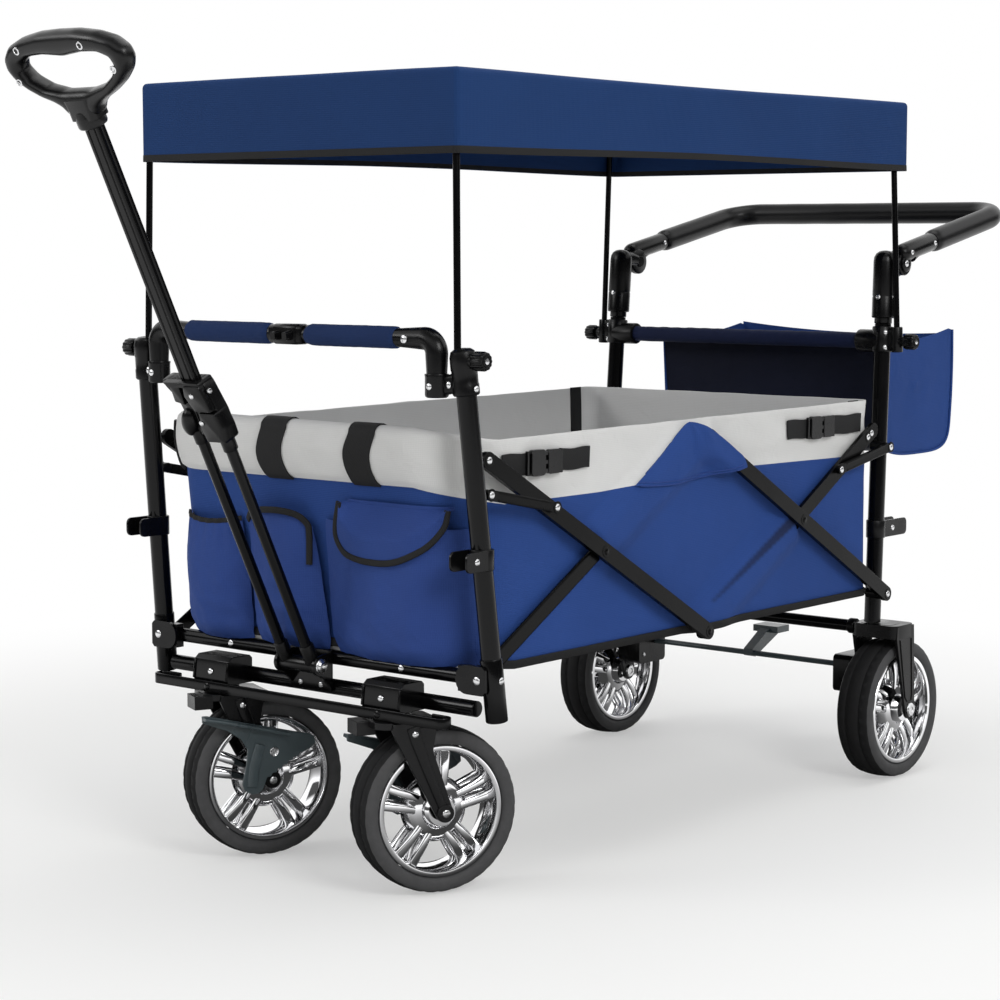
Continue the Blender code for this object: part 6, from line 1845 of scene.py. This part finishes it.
# the thumb lobe, round as a bean
lobe = []
for k in range(13):
    a = math.pi * k / 12
    lobe.append((-0.0190 * math.cos(a), 0.0118 * math.sin(a)))
tilted = (alongPull + Vector((0.30, 0, 0))).normalized()
addLathe(bm, lobe, onPull(-0.0240, 0.3370, 0.0030), tilted, 0, 32)
addTube(bm, [onPull(pullLook["rodX"], 0.300), onPull(pullLook["rodX"], 0.320)], 0.0088, 0, 28, 0.0012)
addTube(bm, [onPull(-pullLook["rodX"], 0.308), onPull(-pullLook["rodX"], 0.326)], 0.0086, 0, 28, 0.0012)
addRivet(bm, onPull(0.0060, 0.3770, 0.0141), outPull, 1, 0.0036)
addRivet(bm, onPull(0.0040, 0.3410, 0.0126), outPull, 1, 0.0036)
addTube(bm, [onPull(0.0250, 0.3800, 0.0040), onPull(0.0292, 0.3800, 0.0040)], 0.0032, 1, 16, 0.0006)
makePiece("latchHead", bm, [blackNylon, rivetSteel], "pull_lower", [], "moulding", bevel=0.0007, angle=34)

bm = bmesh.new()
w, d = pullLook["pole"]
groove, edge = 0.0012, 0.0010  # a groove down each wide face, and the rounding of the edges
upper = [(0.0040, d / 2), (0.0046, d / 2 - groove), (0.0062, d / 2 - groove), (0.0068, d / 2),
         (w / 2 - edge, d / 2), (w / 2 - 0.3 * edge, d / 2 - 0.3 * edge), (w / 2, d / 2 - edge)]
quarter = [(a, -b) for a, b in upper]
section = ([(-a, b) for a, b in quarter[4::-1]] + quarter
           + [(w / 2, -0.0010), (w / 2 - 0.0005, 0.0), (w / 2, 0.0010)] + upper[::-1]
           + [(-a, b) for a, b in upper] + [(-a, b) for a, b in quarter[:4:-1]])
addSweep(bm, [onPull(0, pullLook["poleStart"]), onPull(0, pullLook["poleEnd"])], section, 0, side=(1, 0, 0))
makePiece("pole", bm, [blackSteel, rivetSteel], "pull_upper", ["pull_pole"], "tube", bevel=0.0003, angle=28)

# the grip: a D ring of even soft section on a moulded stem
gripLook = dict(half=[(0.0, 0.8165), (0.030, 0.8158), (0.060, 0.8112), (0.083, 0.8035), (0.0955, 0.7915),
                      (0.0970, 0.7800), (0.0895, 0.7670), (0.0740, 0.7540), (0.0550, 0.7435),
                      (0.0360, 0.7355), (0.0255, 0.7280), (0.0215, 0.7190)],
                hole=[(0.0, 0.7878), (0.0300, 0.7912), (0.0540, 0.7905), (0.0700, 0.7848), (0.0740, 0.7755),
                      (0.0655, 0.7640), (0.0470, 0.7540), (0.0220, 0.7488)], deep=0.0126, round=0.84)


def mirrored(half):
    return [(a * 1.025, b) for a, b in half] + [(-a, b) for a, b in half[::-1] if a > 0]


outer, hole = [softLoop(mirrored(gripLook[key]), 128, 1) for key in ("half", "hole")]


def twistCost(shift):
    # how far the two loops' points lie apart when the hole's start is shifted
    return sum((hole[(k + shift) % 128][0] - outer[k][0]) ** 2
               + (hole[(k + shift) % 128][1] - outer[k][1]) ** 2 for k in range(0, 128, 4))


shift = min(range(128), key=twistCost)
hole = [hole[(k + shift) % 128] for k in range(128)]
half = gripLook["deep"]
bm = bmesh.new()
grid = []
sides = 24
for k in range(128):
    o, i = Vector((*outer[k], 0)), Vector((*hole[k], 0))
    mid, reach = (o + i) / 2, (o - i) / 2
    ring = []
    for n in range(sides):
        a = math.tau * n / sides
        ca, sa = math.cos(a), math.sin(a)
        ca, sa = (math.copysign(abs(t) ** gripLook["round"], t) for t in (ca, sa))
        p = mid + reach * ca
        ring.append(bm.verts.new(onPull(p.x, p.y, half * sa)))
    grid.append(ring)
joinRings(bm, grid, closed=True)
addSweep(bm, [onPull(0, 0.7160), onPull(0, 0.7260), onPull(0, 0.7400)], roundedBox(0.0400, 0.0264, 0.0070, 4),
         0, side=(1, 0, 0), scales=[1.0, 1.0, 1.08])
for x, along in ((-0.0640, 0.8000), (0.0400, 0.8010), (-0.0790, 0.7640), (0.0780, 0.7720), (-0.0120, 0.7280),
                 (-0.0040, 0.7270)):
    addLathe(bm, [(0.0, 0.0046), (0.0010, 0.0046), (0.0014, 0.0040), (0.0014, 0.0030), (0.0004, 0.0026),
                  (0.0004, 0.0)], onPull(x, along, half - 0.0012), outPull, 2, 20)
addLathe(bm, [(0.705, 0.0130), (0.7065, 0.0160), (0.7085, 0.0168), (0.7160, 0.0168), (0.7190, 0.0160),
              (0.7250, 0.0140)], onPull(0, 0), alongPull, 0, 36)
makePiece("pullGrip", bm, [gripNylon, blackNylon, rivetSteel], "pull_upper", ["pull_grip"], "moulding",
          bevel=0.0, angle=40)
print("pull handle made")

# push handle
pushLook = dict(pivot=(0.951, 0.737), knee=(1.000, 0.762), end=(1.243, 0.812), plate=(0.2365, 0.2461),
                tubeX=0.2413, radius=0.0095, foam=0.0163)


def makePushJoint(look, side, tag):
    bm = bmesh.new()
    foot, crown = rearPost(side, 0.660), rearPost(side, 0.7555)
    line = (crown - foot).normalized()
    length = (crown - foot).length
    addLathe(bm, [(0.0, 0.0122), (0.0, 0.0152), (0.0016, 0.0166), (length * 0.30, 0.0166),
                  (length * 0.32, 0.0160), (length * 0.34, 0.0166), (length - 0.016, 0.0166),
                  (length - 0.0095, 0.0158), (length - 0.0045, 0.0132), (length - 0.0012, 0.0088),
                  (length, 0.0035), (length, 0.0)], foot, line, 0, 44)
    addTube(bm, [rearPost(side, 0.6523), rearPost(side, 0.674)], 0.0125, 0, 36, 0.0008)
    y, z = look["pivot"]
    disc = at(side * 0.2260, y, z)
    addLathe(bm, [(0.0, 0.0), (0.0, 0.0172), (0.0012, 0.0190), (0.0082, 0.0190), (0.0098, 0.0176),
                  (0.0099, 0.0)], disc, xAxis(side), 0, 48)
    # the elbow that carries the disc
    base = rearPost(side, 0.7395)
    elbow = [base, at(side * 0.2345, (base.y + middleY + y) / 2, 0.7410),
             at(side * 0.2320, y - 0.004, z + 0.0015)]
    addSweep(bm, elbow, roundedBox(0.0200, 0.0200, 0.0070, 4), 0, side=(1, 0, 0), scales=[1.30, 1.15, 0.90])
    # spring button and its boss on the inner face
    addLathe(bm, [(0.0, 0.0090), (0.0016, 0.0090), (0.0022, 0.0082), (0.0022, 0.0)], at(side * 0.2262, y, z),
             (-side, 0, 0), 0, 32)
    addRivet(bm, rearPost(side, 0.690) + Vector((side * 0.0162, 0, 0)), (side, 0, 0), 1, 0.0040)
    addRivet(bm, rearPost(side, 0.690) + Vector((0, -0.0162, 0)), (0, -1, 0), 1, 0.0036)
    makePiece("pushJoint" + tag, bm, [blackNylon, rivetSteel], "rear_frame", ["push_joint_" + tag],
              "moulding", bevel=0.0006, angle=34)


for side, tag in ((1, "R"), (-1, "L")):
    makePushJoint(pushLook, side, tag)

bm = bmesh.new()
py, pz = pushLook["pivot"]
ky, kz = pushLook["knee"]
ey, ez = pushLook["end"]
rise = Vector((0, ky - py, kz - pz)).normalized()
start = Vector((0, py, pz)) + rise * 0.023
x = pushLook["tubeX"]
foamStart = (1.0300, 0.7682)  # where the foam begins, beyond the moulded arm's end
half = [(start.y, start.z), (ky, kz), (ey, ez)]
corners = [at(x, y, z) for y, z in half] + [at(-x, y, z) for y, z in half[::-1]]
addTube(bm, bendEach(corners, (0.022, 0.050)), pushLook["radius"], 0, 28)
for side in (1, -1):
    plateX, thick = pushLook["plate"][0], pushLook["plate"][1] - pushLook["plate"][0]
    centre = at(side * plateX, py, pz)
    # round plate with a shoulder, a large domed knob and its bolt
    addLathe(bm, [(0.0, 0.0), (0.0, 0.0160), (0.0010, 0.0171), (thick - 0.0012, 0.0171), (thick, 0.0160),
                  (thick, 0.0130), (thick - 0.0004, 0.0126)], centre, xAxis(side), 1, 48)
    addLathe(bm, [(thick - 0.0005, 0.0124), (thick + 0.0022, 0.0120), (thick + 0.0034, 0.0104),
                  (thick + 0.0036, 0.0066), (thick + 0.0022, 0.0060), (thick + 0.0022, 0.0)], centre,
             xAxis(side), 1, 44)
    addRivet(bm, centre + Vector((side * (thick + 0.0022), 0, 0)), (side, 0, 0), 2, 0.0050)
    direction = (at(0, ey, ez) - at(0, ky, kz)).normalized()
    sleeveEnd = at(x * side, *foamStart)
    reach = [0.0925, 0.0918, 0.0900, 0.0870, 0.0830, 0.0790, 0.0040, 0.0]
    addSweep(bm, [sleeveEnd - direction * away for away in reach], circle(0.0134, 32), 1, side=(1, 0, 0),
             scales=[0.20, 0.45, 0.70, 0.88, 0.97, 1.0, 1.0, 0.94])
    middleX = side * (plateX + thick / 2)
    web = [at(middleX, py + 0.002, pz), at(middleX, py + 0.006, pz + 0.014)]
    addSweep(bm, web, roundedBox(0.0098, 0.0300, 0.0040, 4), 1, side=(1, 0, 0))
    for way in (1, -1):
        addRivet(bm, sleeveEnd - direction * 0.0100 + Vector((side * way * 0.0131, 0, 0)), (side * way, 0, 0),
                 2, 0.0036)
    addRivet(bm, sleeveEnd - direction * 0.0760 + Vector((side * 0.0131, 0, 0)), (side, 0, 0), 2, 0.0036)
makePiece("pushBar", bm, [blackSteel, blackNylon, rivetSteel], "push_handle", ["push_bar"], "tube",
          bevel=0.0005, angle=36)

bm = bmesh.new()
corners = [at(x, *foamStart), at(x, ey, ez), at(-x, ey, ez), at(-x, *foamStart)]
path = evenPath(bendPath(corners, 0.050, 14), 220)
scales = []
for k in range(len(path)):
    end = min(k, len(path) - 1 - k)
    rounding = 1.0 if end > 3 else 0.80 + 0.20 * math.sqrt(max(0.0, 1 - (1 - end / 3.0) ** 2))
    scales.append(rounding * (1 + 0.010 * noiseAt(k * 0.11, 2.0, 1.0)))
addSweep(bm, path, circle(pushLook["foam"], 36), 0, scales=scales)
makePiece("foamSleeve", bm, [foamRubber], "push_handle", ["push_grip"], "foam")
print("push handle made")

# rear axle frame and brake bar
axleLook = dict(y=0.8825, z=0.2177, radius=0.0085, half=0.2183)
bm = bmesh.new()
addTube(bm, [at(way * axleLook["half"], axleLook["y"], axleLook["z"]) for way in (-1, 1)], axleLook["radius"],
        0, 28)
for side in (1, -1):
    addTube(bm, [at(side * 0.2050, axleLook["y"], axleLook["z"]),
                 at(side * 0.2160, axleLook["y"], axleLook["z"])], 0.0112, 1, 28, 0.0010)
    centre = sizes["rearWheelX"] * side
    addPlate(bm, roundedBox(0.0740, 0.0550, 0.0120, 6), at(centre, 0.8965, 0.2060), (1, 0, 0), (0, 1, 0),
             0.0190, 1)
    addPlate(bm, roundedBox(0.0500, 0.0340, 0.0080, 4), at(centre, 0.8900, 0.2240), (1, 0, 0), (0, 1, 0),
             0.0014, 1)
    for armSide in (-1, 1):
        arm = [(0.8760, 0.2230), (0.8745, 0.2060)]
        arm += arcPoints((sizes["rearWheelY"], sizes["wheelZ"]), 0.0132, 192, 346, 11)
        arm += [(0.9225, 0.2060), (0.9215, 0.2230)]
        addPlate(bm, arm, at(centre + armSide * 0.0326 - (0.0043 if armSide < 0 else 0.0), 0, 0), (0, 1, 0),
                 (0, 0, 1), 0.0043, 1)
        # raised rim down the arm and the axle's bolt
        face = centre + armSide * 0.0369
        rib = [(0.8830, 0.2040), (0.8990, 0.1200), (0.9050, 0.1130), (0.9160, 0.1130), (0.9180, 0.1220),
               (0.9140, 0.2040)]
        addSweep(bm, [at(face, a, b) for a, b in rib], circle(0.0014, 8), 1)
        addLathe(bm, [(0.0, 0.0100), (0.0014, 0.0100), (0.0022, 0.0090), (0.0030, 0.0080), (0.0030, 0.0044),
                      (0.0020, 0.0040), (0.0020, 0.0)], at(face, sizes["rearWheelY"], sizes["wheelZ"]),
                 (armSide, 0, 0), 2, 24)
    # brake box on the inner arm
    boxOut, boxIn = 0.2148, 0.1748
    addSidePlate(bm, roundedBox(0.0680, 0.0540, 0.0070, 5), boxIn, side, boxOut - boxIn, 1, 0.920, 0.145)
    for z in (0.132, 0.158):
        addRivet(bm, at(side * (boxIn - 0.0002), 0.898, z), (-side, 0, 0), 2, 0.0034)
makePiece("rearAxleFrame", bm, [blackSteel, blackNylon, rivetSteel], "rear_frame", ["rear_axle_frame"],
          "moulding", bevel=0.0010, angle=36)

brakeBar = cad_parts["rear_brake_bar"]
brakeBar.data.materials.clear()
brakeBar.data.materials.append(pedalNylon)
edge = brakeBar.modifiers.new("soft edge", "BEVEL")
edge.width, edge.segments, edge.limit_method = 0.0009, 2, "ANGLE"
print("rear axle made")

# floor, light, camera
stageLook = dict(floor="#f1f1ef", paler="#f5f5f3", rough=0.7, width=9.0, back=7.6, front=-4.6, bend=1.5,
                 height=5.5, turn=0.6929, near=0.75, far=1.9, lift=0.42, air=0.40, mirrorNear=0.06,
                 mirrorFar=1.35, dark=0.10, softbox=1.5)


def paintedFloor():
    # seamless painted studio floor: pale and matt under the wagon, pure white further off for the camera, as
    # an evenly lit studio sweep is. In what metal mirrors, the floor is a painted reflection: a glow dark
    # near the wagon and bright further off
    mat, tree, shader, place = startMaterial("painted studio floor", {"Roughness": stageLook["rough"],
                                                                      "Specular IOR Level": 0.2})
    drift = addNoise(tree, place, 700, 2.0)
    tintBetween(tree, shader, drift.outputs["Fac"], stageLook["floor"], stageLook["paler"])
    white = addNode(tree, "ShaderNodeEmission", {"Strength": 1.0})
    away = addNode(tree, "ShaderNodeVectorMath", {"operation": "LENGTH"}, {0: (place, "Object")})
    share = addNode(tree, "ShaderNodeMapRange", {"interpolation_type": "SMOOTHSTEP",
                                                 "From Min": stageLook["near"], "From Max": stageLook["far"],
                                                 "To Min": stageLook["lift"], "To Max": 1.0},
                    {"Value": (away, "Value")})
    ray = addNode(tree, "ShaderNodeLightPath")
    seen = addNode(tree, "ShaderNodeMath", {"operation": "MAXIMUM"},
                   {0: (ray, "Is Camera Ray"), 1: (ray, "Is Transmission Ray")})
    share = addNode(tree, "ShaderNodeMath", {"operation": "MULTIPLY"}, {0: (share, 0), 1: (seen, 0)})
    mixed = addNode(tree, "ShaderNodeMixShader", {}, {0: (share, 0), 1: (shader, 0), 2: (white, 0)})
    # painted reflection: glossy rays see the floor as a glow, dark near the wagon so black steel mirrors
    # dark, bright further off
    mirrored = addNode(tree, "ShaderNodeMapRange", {"From Min": 0.5, "From Max": 1.2,
                                                    "To Min": stageLook["mirrorNear"],
                                                    "To Max": stageLook["mirrorFar"]},
                       {"Value": (away, "Value")})
    paintedMirrorGlow = addNode(tree, "ShaderNodeEmission", {}, {"Strength": (mirrored, 0)})
    mixed = addNode(tree, "ShaderNodeMixShader", {}, {0: (ray, "Is Glossy Ray"), 1: (mixed, 0), 2: (paintedMirrorGlow, 0)})
    tree.links.new(mixed.outputs[0], tree.nodes["Material Output"].inputs["Surface"])
    return mat


bm = bmesh.new()
away, right = [Matrix.Rotation(stageLook["turn"], 3, "Z") @ Vector(way) for way in ((0, 1, 0), (1, 0, 0))]
profile = [(stageLook["front"], 0.0), (stageLook["back"] - stageLook["bend"], 0.0)]
for k in range(1, 19):
    a = math.pi / 2 * k / 18
    profile.append((stageLook["back"] - stageLook["bend"] * (1 - math.sin(a)),
                    stageLook["bend"] * (1 - math.cos(a))))
profile.append((stageLook["back"], stageLook["height"]))
strips = []
for along, up in profile:
    base = away * along + Vector((0, 0, up))
    strips.append((bm.verts.new(base - right * stageLook["width"]),
                   bm.verts.new(base + right * stageLook["width"])))
for one, two in zip(strips, strips[1:]):
    bm.faces.new((one[0], one[1], two[1], two[0]))
mesh = bpy.data.meshes.new("studioFloor")
bm.to_mesh(mesh)
bm.free()
mesh.materials.append(paintedFloor())
for face in mesh.polygons:
    face.use_smooth = True
floor = bpy.data.objects.new("studioFloor", mesh)
bpy.context.scene.collection.objects.link(floor)
floor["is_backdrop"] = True


def addLight(name, spot, height, size, power):
    # a square softbox that faces a point on the wagon's middle axis
    data = bpy.data.lights.new(name, "AREA")
    data.shape = "RECTANGLE"
    data.size = data.size_y = size
    data.energy = power
    lamp = bpy.data.objects.new(name, data)
    lamp.location = spot
    lamp.rotation_euler = (Vector((0, 0, height)) - Vector(spot)).to_track_quat("-Z", "Y").to_euler()
    bpy.context.scene.collection.objects.link(lamp)


addLight("keyLight", (3.45, -1.35, 2.5), 0.4, 1.5, 68)
addLight("fillLight", (-2.2, -3.1, 2.2), 0.4, 1.2, 33)
addLight("topLight", (0.1, 0.5, 3.4), 0.3, 2.2, 44)
world = bpy.data.worlds.new("studioAir")
bpy.context.scene.world = world
world.use_nodes = True
air = world.node_tree
dim = air.nodes["Background"]
dim.inputs["Color"].default_value = (1, 1, 1, 1)
dim.inputs["Strength"].default_value = stageLook["air"]
bright = addNode(air, "ShaderNodeBackground", {"Color": (1, 1, 1, 1), "Strength": 1.0})
ray = addNode(air, "ShaderNodeLightPath")
either = addNode(air, "ShaderNodeMath", {"operation": "MAXIMUM"},
                 {0: (ray, "Is Camera Ray"), 1: (ray, "Is Transmission Ray")})
shown = addNode(air, "ShaderNodeMixShader", {}, {0: (either, 0), 1: (dim, 0), 2: (bright, 0)})
# what polished and painted metal mirrors: a dark room with a ring of soft boxes above head height
around = addNode(air, "ShaderNodeTexCoord")
height = addNode(air, "ShaderNodeSeparateXYZ", {}, {0: (around, "Generated")})
ringLow = addNode(air, "ShaderNodeMapRange", {"interpolation_type": "SMOOTHSTEP", "From Min": 0.22,
                                              "From Max": 0.34, "To Min": stageLook["dark"],
                                              "To Max": stageLook["softbox"]}, {"Value": (height, "Z")})
ringHigh = addNode(air, "ShaderNodeMapRange", {"interpolation_type": "SMOOTHSTEP", "From Min": 0.62,
                                               "From Max": 0.80, "To Min": 1.0, "To Max": 0.25},
                   {"Value": (height, "Z")})
ring = addNode(air, "ShaderNodeMath", {"operation": "MULTIPLY"}, {0: (ringLow, 0), 1: (ringHigh, 0)})
mirrorRoom = addNode(air, "ShaderNodeBackground", {"Color": (1, 1, 1, 1)}, {"Strength": (ring, 0)})
shown = addNode(air, "ShaderNodeMixShader", {}, {0: (ray, "Is Glossy Ray"), 1: (shown, 0),
                                                 2: (mirrorRoom, 0)})
air.links.new(shown.outputs[0], air.nodes["World Output"].inputs["Surface"])

# the photograph's camera, as fitted; it looks down a little
cameraLook = dict(lens=88.96, film=36, spot=(2.0687, -2.576138, 0.7725), down=0.1054)
cameraData = bpy.data.cameras.new("photoCamera")
cameraData.lens = cameraLook["lens"]
cameraData.sensor_width = cameraLook["film"]
camera = bpy.data.objects.new("photoCamera", cameraData)
camera.location = cameraLook["spot"]
forward = away * math.cos(cameraLook["down"]) - Vector((0, 0, math.sin(cameraLook["down"])))
camera.rotation_euler = forward.to_track_quat("-Z", "Y").to_euler()
bpy.context.scene.collection.objects.link(camera)
bpy.context.scene.camera = camera
bpy.context.scene.view_settings.view_transform = "Standard"

boxes = {"cad": cadBox, "visual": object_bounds()}
boxes = {name: [[float(value) for value in corner] for corner in box] for name, box in boxes.items()}
print("boxes", boxes)
